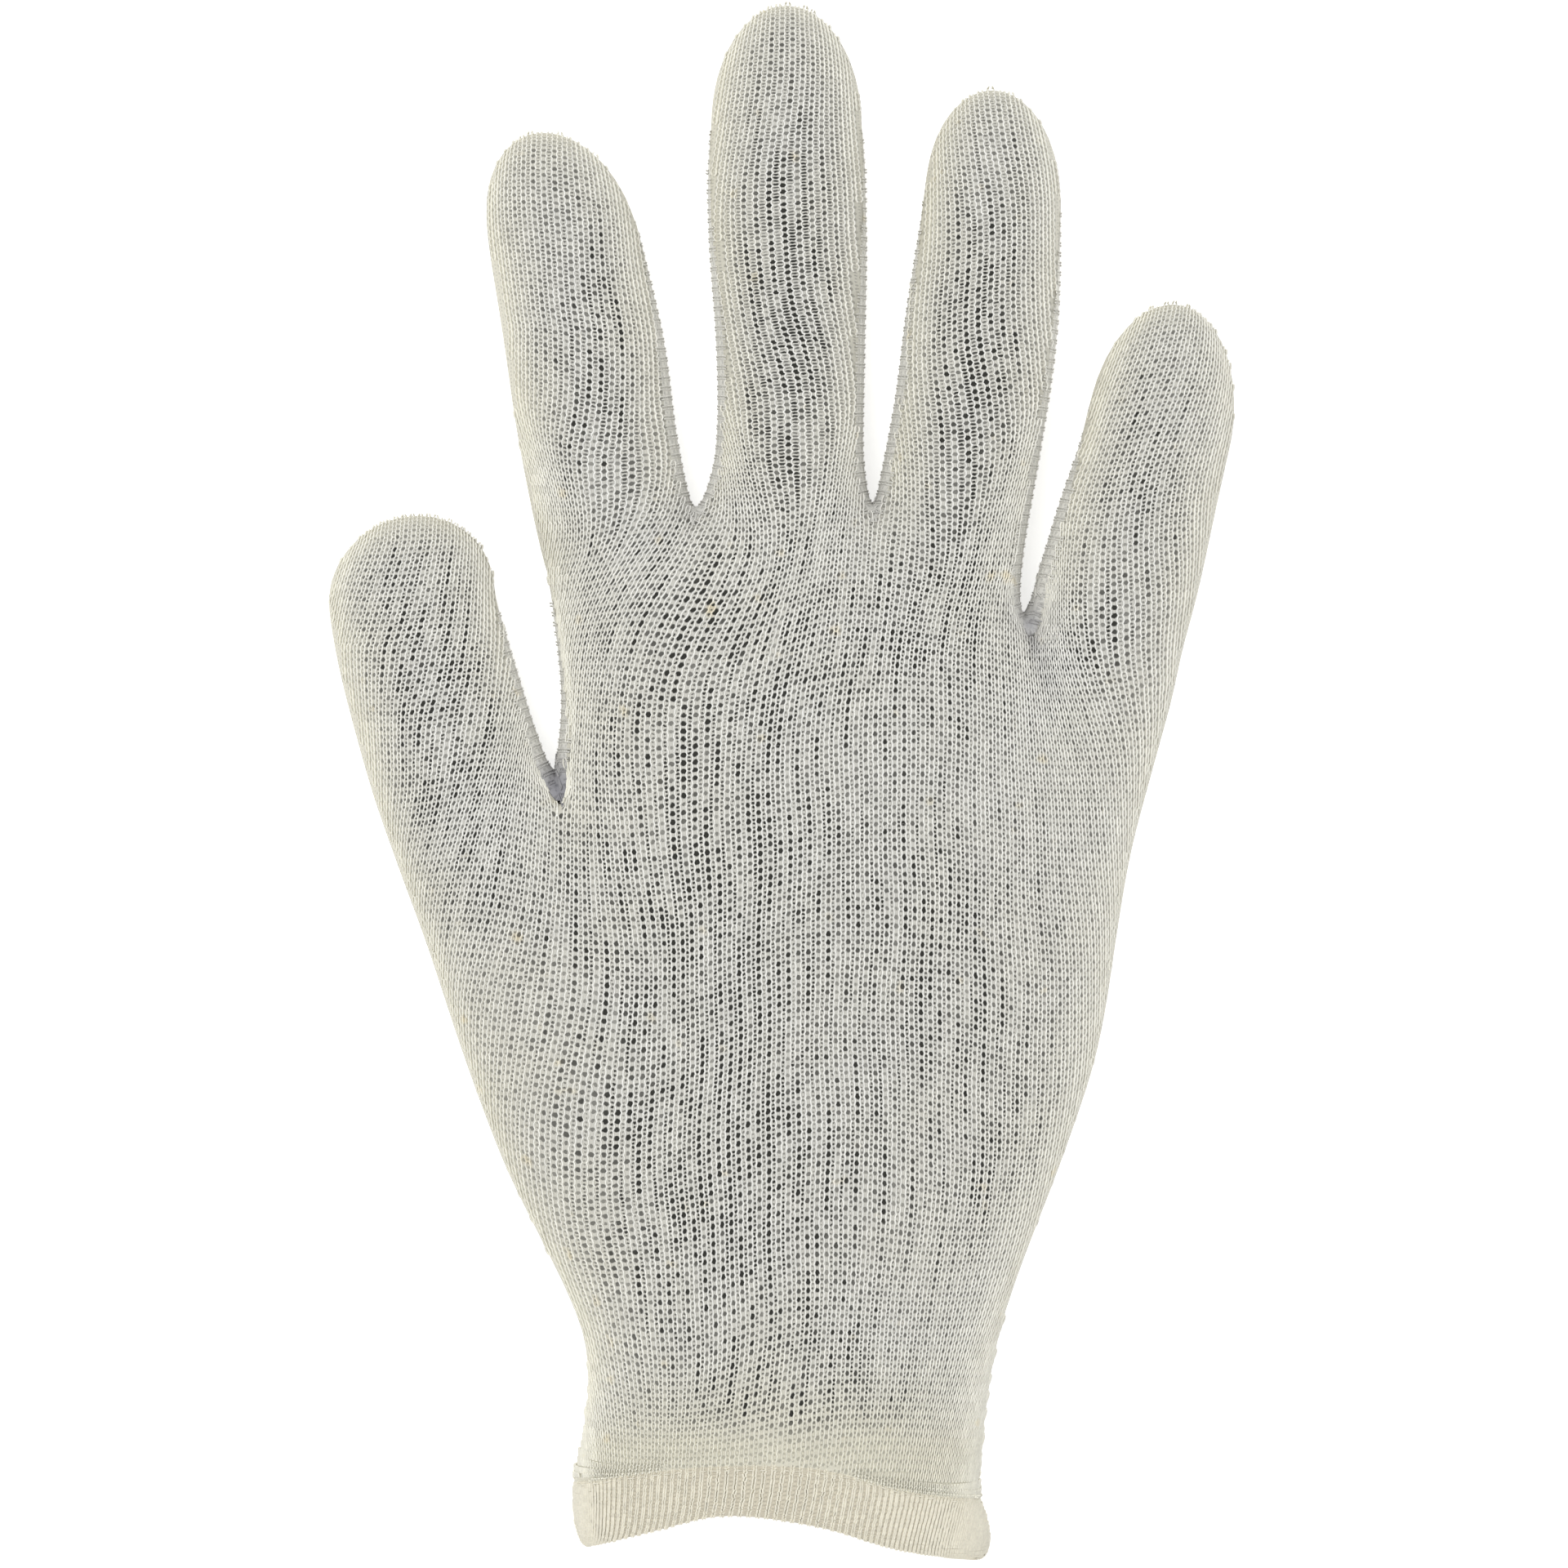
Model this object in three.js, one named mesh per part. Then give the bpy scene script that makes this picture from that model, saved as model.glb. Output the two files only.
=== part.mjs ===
// Cotton rib-knit work glove for a right hand, lying palm down with its full, rounded form.
// Millimetres: +X towards the little finger, +Y towards the fingertips, +Z up from the surface it lies on.
// The glove is cut and sewn: a back panel, a palm panel, a narrow gusset in each of the four forks
// between the digits, and a hem folded double round the open wrist.
import * as THREE from "three";

// Cloth
const WALL = 1.2;
const HEM_WALL = 2.4;
const SEAM_GAP = 0.34;
const SHARPEST_CORNER = 0.05;
const HEM_FOLD = 0.9;

// How the glove stands off the surface
const FINGER_SEAM_HEIGHT = 8.0;
const PALM_SEAM_HEIGHT = 9.5;
const PALM_SEAM_Y = -30;
const PALM_SEAM_REACH = 80;
const FLATTENING = 9.0;

// Mesh fineness
const COLUMNS = 6;
const DOME_RINGS = 4;
const GUSSET_FACES = 4;
const SWEEPS = 700;
const OVERSTEP = 1.7;
const CLOSED = 0.05;

// The lines that part the digits' shares of the hand, from the hem's edge up to the finger forks.
// crown is the height of the back over the side seams, steps the number of faces up to the next row.
const HAND_ROWS = [
  { row: "edge", crown: 11.5, steps: 1,
    thumb_side: [-32.2, -121.7], thumb_index: [-20.7, -118.3], index_middle: [-8.9, -115.5],
    middle_ring: [5.5, -117.2], ring_little: [18.6, -121.2], little_side: [32.6, -123.6] },
  { row: "band", crown: 11.5, steps: 1,
    thumb_side: [-33.4, -117.9], thumb_index: [-21.1, -114.8], index_middle: [-8.9, -112.3],
    middle_ring: [5.5, -113.4], ring_little: [18.5, -117.4], little_side: [33.4, -120.2] },
  { row: "hem", crown: 11.5, steps: 2,
    thumb_side: [-33.3, -111.8], thumb_index: [-21.3, -109.4], index_middle: [-8.9, -108.1],
    middle_ring: [5.5, -108.5], ring_little: [18.4, -112.0], little_side: [31.5, -114.4] },
  { row: "wrist", crown: 12.0, steps: 3,
    thumb_side: [-31.0, -99.3], thumb_index: [-20.4, -98.3], index_middle: [-8.2, -97.8],
    middle_ring: [5.9, -98.0], ring_little: [19.2, -101.5], little_side: [31.5, -106.0] },
  { row: "cuff", crown: 12.5, steps: 2,
    thumb_side: [-32.5, -85.0], thumb_index: [-21.3, -83.7], index_middle: [-8.5, -83.3],
    middle_ring: [7.1, -83.3], ring_little: [21.4, -83.9], little_side: [35.2, -85.0] },
  { row: "heel", crown: 15.0, steps: 3,
    thumb_side: [-43.0, -64.1], thumb_index: [-27.5, -62.7], index_middle: [-9.9, -61.4],
    middle_ring: [8.8, -61.4], ring_little: [26.4, -62.7], little_side: [43.1, -64.1] },
  { row: "palm", crown: 16.5, steps: 2,
    thumb_side: [-51.0, -43.1], thumb_index: [-31.1, -39.9], index_middle: [-11.2, -37.3],
    middle_ring: [10.1, -37.3], ring_little: [29.0, -39.9], little_side: [50.2, -43.1] },
  { row: "thenar", crown: 17.0, steps: 3,
    thumb_side: [-56.1, -27.5], thumb_index: [-33.5, -21.6], index_middle: [-12.2, -16.3],
    middle_ring: [11.4, -16.3], ring_little: [31.6, -20.9], little_side: [52.9, -26.8] },
  { row: "thumb fork", crown: 17.0, steps: 3,
    thumb_side: [-60.9, -14.4], thumb_index: [-35.0, -5.2], index_middle: [-13.1, 3.9],
    middle_ring: [12.7, 3.9], ring_little: [34.5, -3.3], little_side: [55.4, -11.8] },
  { row: "knuckles", crown: 15.0, steps: 3,
    thumb_index: [-35.2, 13.1], index_middle: [-13.7, 23.5],
    middle_ring: [13.6, 23.8], ring_little: [37.1, 9.2], little_side: [58.8, 1.3] },
  { row: "finger forks", crown: 13.0, steps: 1,
    thumb_index: [-37.6, 34.0], index_middle: [-14.1, 41.2],
    middle_ring: [14.5, 41.8], ring_little: [39.7, 20.9], little_side: [62.4, 14.4] },
];
const HEM_ROW = 2;
const THUMB_FORK_ROW = 8;
const FINGER_FORK_ROW = 10;

// Each digit from its base up: the two outer sides, the crown's height over the side seams, and the
// height that the gusset climbs on its left and right side.
const DIGITS = [
  { name: "thumb", tip: [-58.3, 43.1], rows: [
    { left: [-64.7, -3.9], right: [-38.0, 3.9], crown: 10.5, left_gusset: 0, right_gusset: 5.2, steps: 2 },
    { left: [-68.1, 7.8], right: [-40.3, 10.5], crown: 10.2, left_gusset: 0, right_gusset: 4.6, steps: 2 },
    { left: [-71.1, 19.6], right: [-43.5, 20.9], crown: 9.8, left_gusset: 0, right_gusset: 3.4, steps: 2 },
    { left: [-72.8, 30.1], right: [-46.1, 30.1], crown: 9.3, left_gusset: 0, right_gusset: 0, steps: 0 },
  ] },
  { name: "index", tip: [-38.3, 104.6], rows: [
    { left: [-39.0, 39.2], right: [-15.0, 45.5], crown: 10.0, left_gusset: 0, right_gusset: 5.2, steps: 1 },
    { left: [-40.9, 48.4], right: [-16.3, 51.6], crown: 9.6, left_gusset: 0, right_gusset: 4.6, steps: 1 },
    { left: [-42.6, 57.5], right: [-17.5, 58.2], crown: 9.4, left_gusset: 0, right_gusset: 4.3, steps: 2 },
    { left: [-44.6, 71.9], right: [-19.2, 71.9], crown: 9.2, left_gusset: 0, right_gusset: 3.6, steps: 2 },
    { left: [-47.2, 87.6], right: [-22.9, 87.6], crown: 8.6, left_gusset: 0, right_gusset: 0, steps: 0 },
  ] },
  { name: "middle", tip: [0.6, 125.0], rows: [
    { left: [-12.3, 45.8], right: [13.6, 46.0], crown: 10.2, left_gusset: 5.2, right_gusset: 5.2, steps: 1 },
    { left: [-10.7, 51.6], right: [12.8, 51.9], crown: 9.8, left_gusset: 4.6, right_gusset: 4.6, steps: 2 },
    { left: [-10.2, 61.4], right: [12.9, 61.4], crown: 9.6, left_gusset: 4.3, right_gusset: 4.3, steps: 2 },
    { left: [-10.6, 73.2], right: [13.1, 73.2], crown: 9.4, left_gusset: 4.0, right_gusset: 4.0, steps: 2 },
    { left: [-11.5, 85.0], right: [13.3, 85.0], crown: 9.2, left_gusset: 3.0, right_gusset: 3.0, steps: 2 },
    { left: [-11.8, 96.1], right: [13.1, 96.1], crown: 9.0, left_gusset: 1.6, right_gusset: 1.6, steps: 1 },
    { left: [-11.5, 105.9], right: [12.8, 105.9], crown: 8.7, left_gusset: 0, right_gusset: 0, steps: 0 },
  ] },
  { name: "ring", tip: [33.6, 111.4], rows: [
    { left: [15.2, 46.0], right: [37.6, 29.4], crown: 10.0, left_gusset: 5.2, right_gusset: 5.2, steps: 1 },
    { left: [16.3, 51.6], right: [38.6, 38.6], crown: 9.6, left_gusset: 4.6, right_gusset: 4.6, steps: 1 },
    { left: [17.5, 57.5], right: [40.0, 46.4], crown: 9.4, left_gusset: 4.3, right_gusset: 4.3, steps: 2 },
    { left: [18.8, 66.0], right: [42.1, 58.8], crown: 9.2, left_gusset: 4.0, right_gusset: 4.0, steps: 2 },
    { left: [20.3, 77.8], right: [44.1, 74.5], crown: 9.0, left_gusset: 3.0, right_gusset: 3.0, steps: 3 },
    { left: [22.8, 94.1], right: [44.6, 94.1], crown: 8.5, left_gusset: 0, right_gusset: 0, steps: 0 },
  ] },
  { name: "little", tip: [62.5, 77.1], rows: [
    { left: [40.0, 29.7], right: [63.7, 20.9], crown: 9.6, left_gusset: 5.2, right_gusset: 0, steps: 2 },
    { left: [42.4, 38.2], right: [66.4, 30.7], crown: 9.2, left_gusset: 4.6, right_gusset: 0, steps: 2 },
    { left: [45.2, 47.1], right: [69.2, 43.8], crown: 8.8, left_gusset: 3.6, right_gusset: 0, steps: 3 },
    { left: [48.6, 57.5], right: [72.3, 57.5], crown: 8.3, left_gusset: 0, right_gusset: 0, steps: 0 },
  ] },
];

// Each fork: the point where its gusset is seen from above, and the height that the gusset climbs there.
const FORKS = [
  { name: "gusset_thumb_index", row: THUMB_FORK_ROW, notch: [-36.5, 2.2], climb: 6.5 },
  { name: "gusset_index_middle", row: FINGER_FORK_ROW, notch: [-14.0, 43.5], climb: 6.5 },
  { name: "gusset_middle_ring", row: FINGER_FORK_ROW, notch: [14.5, 44.2], climb: 6.5 },
  { name: "gusset_ring_little", row: FINGER_FORK_ROW, notch: [38.4, 26.5], climb: 6.5 },
];
// The thumb fork's gusset also runs up the side of the hand below the index finger, and dies away there.
const INDEX_SIDE_GUSSET = 3.2;

const CREAM = 0xd9d8c8;
const KNIT_ROUGHNESS = 0.95;

// Height of the side seams over the surface: a little higher round the palm than along the fingers.
function seamHeight(y) {
  const bump = Math.exp(-(((y - PALM_SEAM_Y) / PALM_SEAM_REACH) ** 2));
  return FINGER_SEAM_HEIGHT + (PALM_SEAM_HEIGHT - FINGER_SEAM_HEIGHT) * bump;
}

// The curvature of a panel that is puffed out to a crown over a given half width.
function puffOf(crown, halfWidth) {
  return 2 * crown * crown / (halfWidth * halfWidth);
}

// How far a panel's edge lies inside the glove's outer side where the gusset has climbed to a height.
function insetOf(climb, puff, halfWidth) {
  return climb * climb / (puff * halfWidth);
}

function distance(a, b) {
  return Math.hypot(b[0] - a[0], b[1] - a[1]);
}

function mix(a, b, t) {
  return a.map((value, k) => value + (b[k] - value) * t);
}

// A smooth curve through key points, one key for each whole number of t, with free ends.
function curveAt(keys, t) {
  const last = keys.length - 1;
  const i = Math.min(Math.floor(t), last - 1);
  const s = t - i;
  const slope = (k) => {
    if (k === 0) return keys[1].map((v, n) => v - keys[0][n]);
    if (k === last) return keys[last].map((v, n) => v - keys[last - 1][n]);
    return keys[k + 1].map((v, n) => (v - keys[k - 1][n]) / 2);
  };
  const from = slope(i);
  const to = slope(i + 1);
  const h1 = s * s * (3 - 2 * s);
  const h2 = s * (1 - s) * (1 - s);
  const h3 = s * s * (s - 1);
  return keys[i].map((v, n) => v + (keys[i + 1][n] - v) * h1 + from[n] * h2 + to[n] * h3);
}

const LINE_NAMES = ["thumb_side", "thumb_index", "index_middle", "middle_ring", "ring_little", "little_side"];

// A row across the hand gives each digit its share of columns. The columns crowd towards the outer sides,
// where the cloth turns down. Every point is [x, y, climb, puff, half width].
function handRowPoints(row, rowIndex, digitIndex) {
  const firstLine = row.thumb_side ? 0 : 1;
  const across = LINE_NAMES.slice(firstLine).map((name) => row[name]);
  const halfWidth = distance(across[0], across[across.length - 1]) / 2;
  const puff = puffOf(row.crown, halfWidth);
  const points = [];
  for (let j = 0; j <= COLUMNS; j++) {
    const part = j / COLUMNS;
    let share = part;
    if (digitIndex === firstLine) share = 1 - Math.cos(part * Math.PI / 2);
    if (digitIndex === DIGITS.length - 1) share = Math.sin(part * Math.PI / 2);
    const [x, y] = curveAt(across, digitIndex - firstLine + share);
    points.push([x, y, forkClimb(rowIndex, digitIndex + (j === 0 ? 0 : 1), j), puff, halfWidth]);
  }
  if (row.row === "knuckles" && digitIndex === firstLine) {
    points[0][0] += insetOf(INDEX_SIDE_GUSSET, puff, halfWidth);
    points[0][2] = INDEX_SIDE_GUSSET;
  }
  return points;
}

// The climb is set only where a share's edge is a fork's corner; inside the hand it isn't used.
function forkClimb(rowIndex, lineIndex, column) {
  if (column > 0 && column < COLUMNS) return 0;
  const fork = FORKS[lineIndex - 1];
  return fork && fork.row === rowIndex ? fork.climb : 0;
}

// A row of a free digit: the columns follow an arc from one gusset edge over the crown to the other.
function digitRowPoints(row) {
  const halfWidth = distance(row.left, row.right) / 2;
  const puff = puffOf(row.crown, halfWidth);
  const leftInset = insetOf(row.left_gusset, puff, halfWidth);
  const rightInset = insetOf(row.right_gusset, puff, halfWidth);
  const start = Math.acos(1 - leftInset / halfWidth);
  const end = Math.PI - Math.acos(1 - rightInset / halfWidth);
  const points = [];
  for (let j = 0; j <= COLUMNS; j++) {
    const angle = start + (end - start) * j / COLUMNS;
    const [x, y] = mix(row.left, row.right, (1 - Math.cos(angle)) / 2);
    let climb = 0;
    if (j === 0) climb = row.left_gusset;
    if (j === COLUMNS) climb = row.right_gusset;
    points.push([x, y, climb, puff, halfWidth]);
  }
  return points;
}

// Lays out one digit with its share of the hand: rows of points from the hem's edge to the last row
// before the tip, then the rings of the rounded tip, which close in the tip point.
function layOutDigit(digitIndex) {
  const digit = DIGITS[digitIndex];
  const forkRow = digitIndex === 0 ? THUMB_FORK_ROW : FINGER_FORK_ROW;
  const handRows = HAND_ROWS.slice(0, forkRow + 1);
  const keys = handRows.map((row, k) => handRowPoints(row, k, digitIndex));
  keys.push(...digit.rows.map(digitRowPoints));
  const steps = [...handRows.map((row) => row.steps), ...digit.rows.map((row) => row.steps)];
  steps[forkRow] = 1;
  const splits = cornerRows(digitIndex);
  const rows = [];
  for (let k = 0; k < keys.length - 1; k++) {
    for (let n = 0; n < steps[k]; n++) {
      rows.push({ key: k, points: sampleRow(keys, splits, k + n / steps[k]) });
    }
  }
  const shoulder = keys[keys.length - 1];
  const middle = mix(shoulder[0], shoulder[COLUMNS], 0.5);
  for (let ring = 0; ring < DOME_RINGS; ring++) {
    const angle = ring / DOME_RINGS * Math.PI / 2;
    const centre = mix(middle.slice(0, 2), digit.tip, Math.sin(angle));
    const points = shoulder.map((point) => [
      centre[0] + (point[0] - middle[0]) * Math.cos(angle),
      centre[1] + (point[1] - middle[1]) * Math.cos(angle),
      0, point[3], point[4]]);
    rows.push({ key: keys.length - 1, points });
  }
  rows.push({ key: keys.length, points: [[...digit.tip, 0, middle[3], middle[4]]] });
  return { rows, forkRow };
}

// The first and last column turn a corner where they leave a fork, so their curves are parted there.
function cornerRows(digitIndex) {
  const left = digitIndex === 0 ? null : FORKS[digitIndex - 1].row;
  const right = digitIndex === DIGITS.length - 1 ? null : FORKS[digitIndex].row;
  return { left, right };
}

function sampleRow(keys, splits, t) {
  return keys[0].map((unused, j) => {
    const split = j === 0 ? splits.left : j === COLUMNS ? splits.right : null;
    const column = keys.map((row) => row[j]);
    if (split === null) return curveAt(column, t);
    if (t <= split) return curveAt(column.slice(0, split + 1), t);
    return curveAt(column.slice(split), t - split);
  });
}

// A set of points in which equal places share one number.
class PointSet {
  constructor() {
    this.places = [];
    this.numbers = new Map();
  }

  add(place) {
    const key = place.slice(0, 3).map((v) => Math.round(v * 1000)).join(" ");
    if (!this.numbers.has(key)) {
      this.numbers.set(key, this.places.length);
      this.places.push(place);
    }
    return this.numbers.get(key);
  }
}

// Adds a four-sided face as two triangles, and drops a side that has closed to a point.
function addQuad(triangles, a, b, c, d, tag) {
  for (const corners of [[a, b, c], [a, c, d]]) {
    if (new Set(corners).size === 3) triangles.push({ corners, tag });
  }
}

// The flat plan of the glove, as one net of points that both panels share.
function drawPlan(digits) {
  const points = new PointSet();
  const triangles = [];
  for (const [digitIndex, digit] of digits.entries()) {
    digit.rows.forEach((row) => {
      row.numbers = row.points.map(([x, y, climb, puff]) => points.add([x, y, 0, climb, puff]));
    });
    for (let r = 0; r < digit.rows.length - 1; r++) {
      const low = digit.rows[r].numbers;
      const high = digit.rows[r + 1].numbers;
      const tag = digit.rows[r].key < HEM_ROW ? "cuff_hem" : "panel";
      for (let j = 0; j < COLUMNS; j++) {
        const c = high.length === 1 ? high[0] : high[j + 1];
        const d = high.length === 1 ? high[0] : high[j];
        addQuad(triangles, low[j], low[j + 1], c, d, tag);
      }
    }
  }
  return { places: points.places, triangles };
}

// Directed edges that only one triangle uses.
function freeEdges(triangles) {
  const edges = new Map();
  for (const { corners } of triangles) {
    corners.forEach((from, k) => edges.set(`${from} ${corners[(k + 1) % 3]}`, [from, corners[(k + 1) % 3]]));
  }
  return [...edges.values()].filter(([from, to]) => !edges.has(`${to} ${from}`));
}

// Puffs the plan out like a filled cushion. The square of the height bends evenly over the plan and is
// held at the seams, which gives round fingers, a broad palm and soft valleys below the forks.
function inflate(plan, mouth) {
  const { places, triangles } = plan;
  const count = places.length;
  const links = Array.from({ length: count }, () => new Map());
  const area = new Float64Array(count);
  for (const { corners } of triangles) {
    corners.forEach((a, k) => {
      const b = corners[(k + 1) % 3];
      const c = corners[(k + 2) % 3];
      const ca = [places[a][0] - places[c][0], places[a][1] - places[c][1]];
      const cb = [places[b][0] - places[c][0], places[b][1] - places[c][1]];
      const twice = Math.abs(ca[0] * cb[1] - ca[1] * cb[0]);
      const weight = (ca[0] * cb[0] + ca[1] * cb[1]) / twice / 2;
      links[a].set(b, (links[a].get(b) ?? 0) + weight);
      links[b].set(a, (links[b].get(a) ?? 0) + weight);
      area[c] += twice / 6;
    });
  }
  const held = new Set(freeEdges(triangles).flat().filter((n) => !mouth.has(n)));
  const square = places.map((place, n) => (held.has(n) ? place[3] * place[3] : 0));
  for (let sweep = 0; sweep < SWEEPS; sweep++) {
    for (let n = 0; n < count; n++) {
      if (held.has(n)) continue;
      let sum = places[n][4] * area[n];
      let total = 0;
      for (const [m, weight] of links[n]) {
        sum += weight * square[m];
        total += weight;
      }
      square[n] += OVERSTEP * (sum / total - square[n]);
    }
  }
  return square.map((value) => Math.sqrt(Math.max(value, 0)));
}

// The height of the back over the surface, and of the palm, which flattens where it rests.
function backHeight(y, rise) {
  return seamHeight(y) + rise;
}

function palmHeight(y, rise) {
  if (rise >= FLATTENING) return 0;
  return seamHeight(y) * (1 - Math.sin(Math.PI / 2 * rise / FLATTENING));
}

// The two edges of a digit from its fork to its tip, each with the outer side beside it.
function gussetSide(digit, side) {
  const stations = [];
  const firstKey = side === "left" ? THUMB_FORK_ROW : digit.forkRow + 1;
  for (const row of digit.rows.filter(({ key, points }) => key >= firstKey && points.length > 1)) {
    const edge = row.points[side === "left" ? 0 : COLUMNS];
    const other = row.points[side === "left" ? COLUMNS : 0];
    const width = distance(edge, other);
    const inset = insetOf(edge[2], edge[3], edge[4]);
    const outer = mix(edge.slice(0, 2), other.slice(0, 2), -inset / width);
    stations.push({ edge, outer, climb: edge[2], key: row.key });
  }
  return stations;
}

// A gusset is a strip that comes down one digit's side, turns in the fork and goes up the next digit.
// Where a panel's edge lies below the notch, the gusset bridges the fork there as a web.
function gussetStations(forkIndex, digits) {
  const fork = FORKS[forkIndex];
  const down = untilClosed(gussetSide(digits[forkIndex], "right")).reverse();
  const up = untilClosed(gussetSide(digits[forkIndex + 1], "left").filter(({ key }) => key >= fork.row));
  return [...down, ...up].map((station) => (
    station.edge[1] < fork.notch[1] ? { ...station, outer: fork.notch } : station));
}

// Keeps the stations up to the first one where the gusset has died away.
function untilClosed(stations) {
  const end = stations.findIndex(({ climb }) => climb < CLOSED);
  return end < 0 ? stations : stations.slice(0, end + 1);
}

// The whole outer skin, with each face tagged by the piece that it belongs to.
function drawSkin(digits, plan, rises) {
  const skin = new PointSet();
  const triangles = [];
  const back = plan.places.map(([x, y], n) => skin.add([x, y, backHeight(y, rises[n])]));
  const palm = plan.places.map(([x, y], n) => skin.add([x, y, palmHeight(y, rises[n])]));
  for (const { corners: [a, b, c], tag } of plan.triangles) {
    triangles.push({ corners: [back[a], back[b], back[c]], tag: tag === "panel" ? "back_panel" : tag });
    triangles.push({ corners: [palm[a], palm[c], palm[b]], tag: tag === "panel" ? "palm_panel" : tag });
  }
  FORKS.forEach((fork, forkIndex) => {
    const stations = gussetStations(forkIndex, digits).map(({ edge, outer, climb }) => {
      const numbers = [];
      for (let k = 0; k <= GUSSET_FACES; k++) {
        const level = 1 - 2 * k / GUSSET_FACES;
        const [x, y] = mix(outer, edge.slice(0, 2), level * level);
        const seam = seamHeight(edge[1]);
        const height = level >= 0
          ? seam + climb * level
          : seam + (palmHeight(edge[1], climb) - seam) * -level;
        numbers.push(skin.add([x, y, height]));
      }
      return numbers;
    });
    for (let s = 0; s < stations.length - 1; s++) {
      const [here, next] = [stations[s], stations[s + 1]];
      for (let k = 0; k < GUSSET_FACES; k++) {
        addQuad(triangles, here[k], next[k], next[k + 1], here[k + 1], fork.name);
      }
    }
  });
  return { places: skin.places.map((place) => new THREE.Vector3(...place)), triangles };
}

function skinNormals({ places, triangles }) {
  const normals = places.map(() => new THREE.Vector3());
  for (const { corners: [a, b, c] } of triangles) {
    const ab = places[b].clone().sub(places[a]);
    const ac = places[c].clone().sub(places[a]);
    const face = ab.cross(ac);
    for (const n of [a, b, c]) normals[n].add(face);
  }
  return normals.map((normal) => normal.normalize());
}

// Draws a piece's free edge back from the seam by half the seam gap, square to the edge and along the
// cloth. A sharp corner draws back further, so that the gap stays even beside it.
function drawnBack(places, normals, edges) {
  const before = new Map(edges.map(([from, to]) => [to, from]));
  const after = new Map(edges);
  const intoPiece = (from, to, normal) => {
    const along = places[to].clone().sub(places[from]);
    return new THREE.Vector3().crossVectors(normal, along).normalize();
  };
  return (n) => {
    if (!after.has(n)) return places[n];
    const first = intoPiece(before.get(n), n, normals[n]);
    const second = intoPiece(n, after.get(n), normals[n]);
    const reach = SEAM_GAP / 2 / Math.max(1 + first.dot(second), SHARPEST_CORNER);
    return places[n].clone().addScaledVector(first.add(second), reach);
  };
}

// Gives one piece of the skin its wall: the outer face, the inner face, and the cut edge between them.
function makePiece(name, skin, normals, mouth, color) {
  const triangles = skin.triangles.filter(({ tag }) => tag === name);
  const edges = freeEdges(triangles);
  const placeOf = drawnBack(skin.places, normals, edges);
  const wall = name === "cuff_hem" ? HEM_WALL : WALL;
  const positions = [];
  const numbers = new Map();
  const corner = (layer, n, make) => {
    const key = `${layer} ${n}`;
    if (!numbers.has(key)) {
      numbers.set(key, positions.length / 3);
      positions.push(...make().toArray());
    }
    return numbers.get(key);
  };
  const outer = (n) => corner("outer", n, () => placeOf(n));
  const inner = (n) => corner("inner", n, () => placeOf(n).clone().addScaledVector(normals[n], -wall));
  const fold = (n) => corner("fold", n, () => placeOf(n).clone()
    .addScaledVector(normals[n], -wall / 2)
    .add(new THREE.Vector3(0, -HEM_FOLD, 0)));
  const index = [];
  for (const { corners: [a, b, c] } of triangles) {
    index.push(outer(a), outer(b), outer(c), inner(c), inner(b), inner(a));
  }
  // Both pieces at a seam split the cut edge's faces along the same diagonal, so that they stay clear.
  const close = (from, to, upper, lower) => {
    const [a, b, c, d] = [upper(to), upper(from), lower(from), lower(to)];
    if (from < to) index.push(a, b, d, b, c, d);
    else index.push(a, b, c, a, c, d);
  };
  for (const [from, to] of edges) {
    if (mouth.has(from) && mouth.has(to)) {
      close(from, to, outer, fold);
      close(from, to, fold, inner);
    } else {
      close(from, to, outer, inner);
    }
  }
  const geometry = new THREE.BufferGeometry();
  geometry.setAttribute("position", new THREE.Float32BufferAttribute(positions, 3));
  geometry.setIndex(index);
  geometry.computeVertexNormals();
  const material = new THREE.MeshStandardMaterial({ color, roughness: KNIT_ROUGHNESS, metalness: 0 });
  const mesh = new THREE.Mesh(geometry, material);
  mesh.name = name;
  return mesh;
}

const digits = DIGITS.map((digit, digitIndex) => layOutDigit(digitIndex));
const plan = drawPlan(digits);
const planMouth = new Set(digits.flatMap(({ rows }, k) => rows[0].numbers.filter((unused, j) =>
  !(k === 0 && j === 0) && !(k === DIGITS.length - 1 && j === COLUMNS))));
const rises = inflate(plan, planMouth);
const skin = drawSkin(digits, plan, rises);
const normals = skinNormals(skin);
const skinMouth = new Set(freeEdges(skin.triangles).flat());

const glove = new THREE.Group();
const names = ["back_panel", "palm_panel", ...FORKS.map(({ name }) => name), "cuff_hem"];
for (const name of names) glove.add(makePiece(name, skin, normals, skinMouth, CREAM));

// The origin lies on the resting surface, under the middle of the glove's outline.
const outline = new THREE.Box3().setFromObject(glove);
const centre = outline.getCenter(new THREE.Vector3());
glove.position.set(-centre.x, -centre.y, -outline.min.z);

export default glove;
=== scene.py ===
# %% [markdown]
# # A cotton knit work glove
#
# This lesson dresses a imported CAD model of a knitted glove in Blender. The CAD model already has
# the glove's seven pieces of cloth at their real size: two panels, four gussets and a folded hem.
# What it lacks is everything that makes it cotton, so the steps below add the smooth lie of the
# cloth, the ribs that climb from the wrist into each digit, and every single stitch in them.

import math

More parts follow.
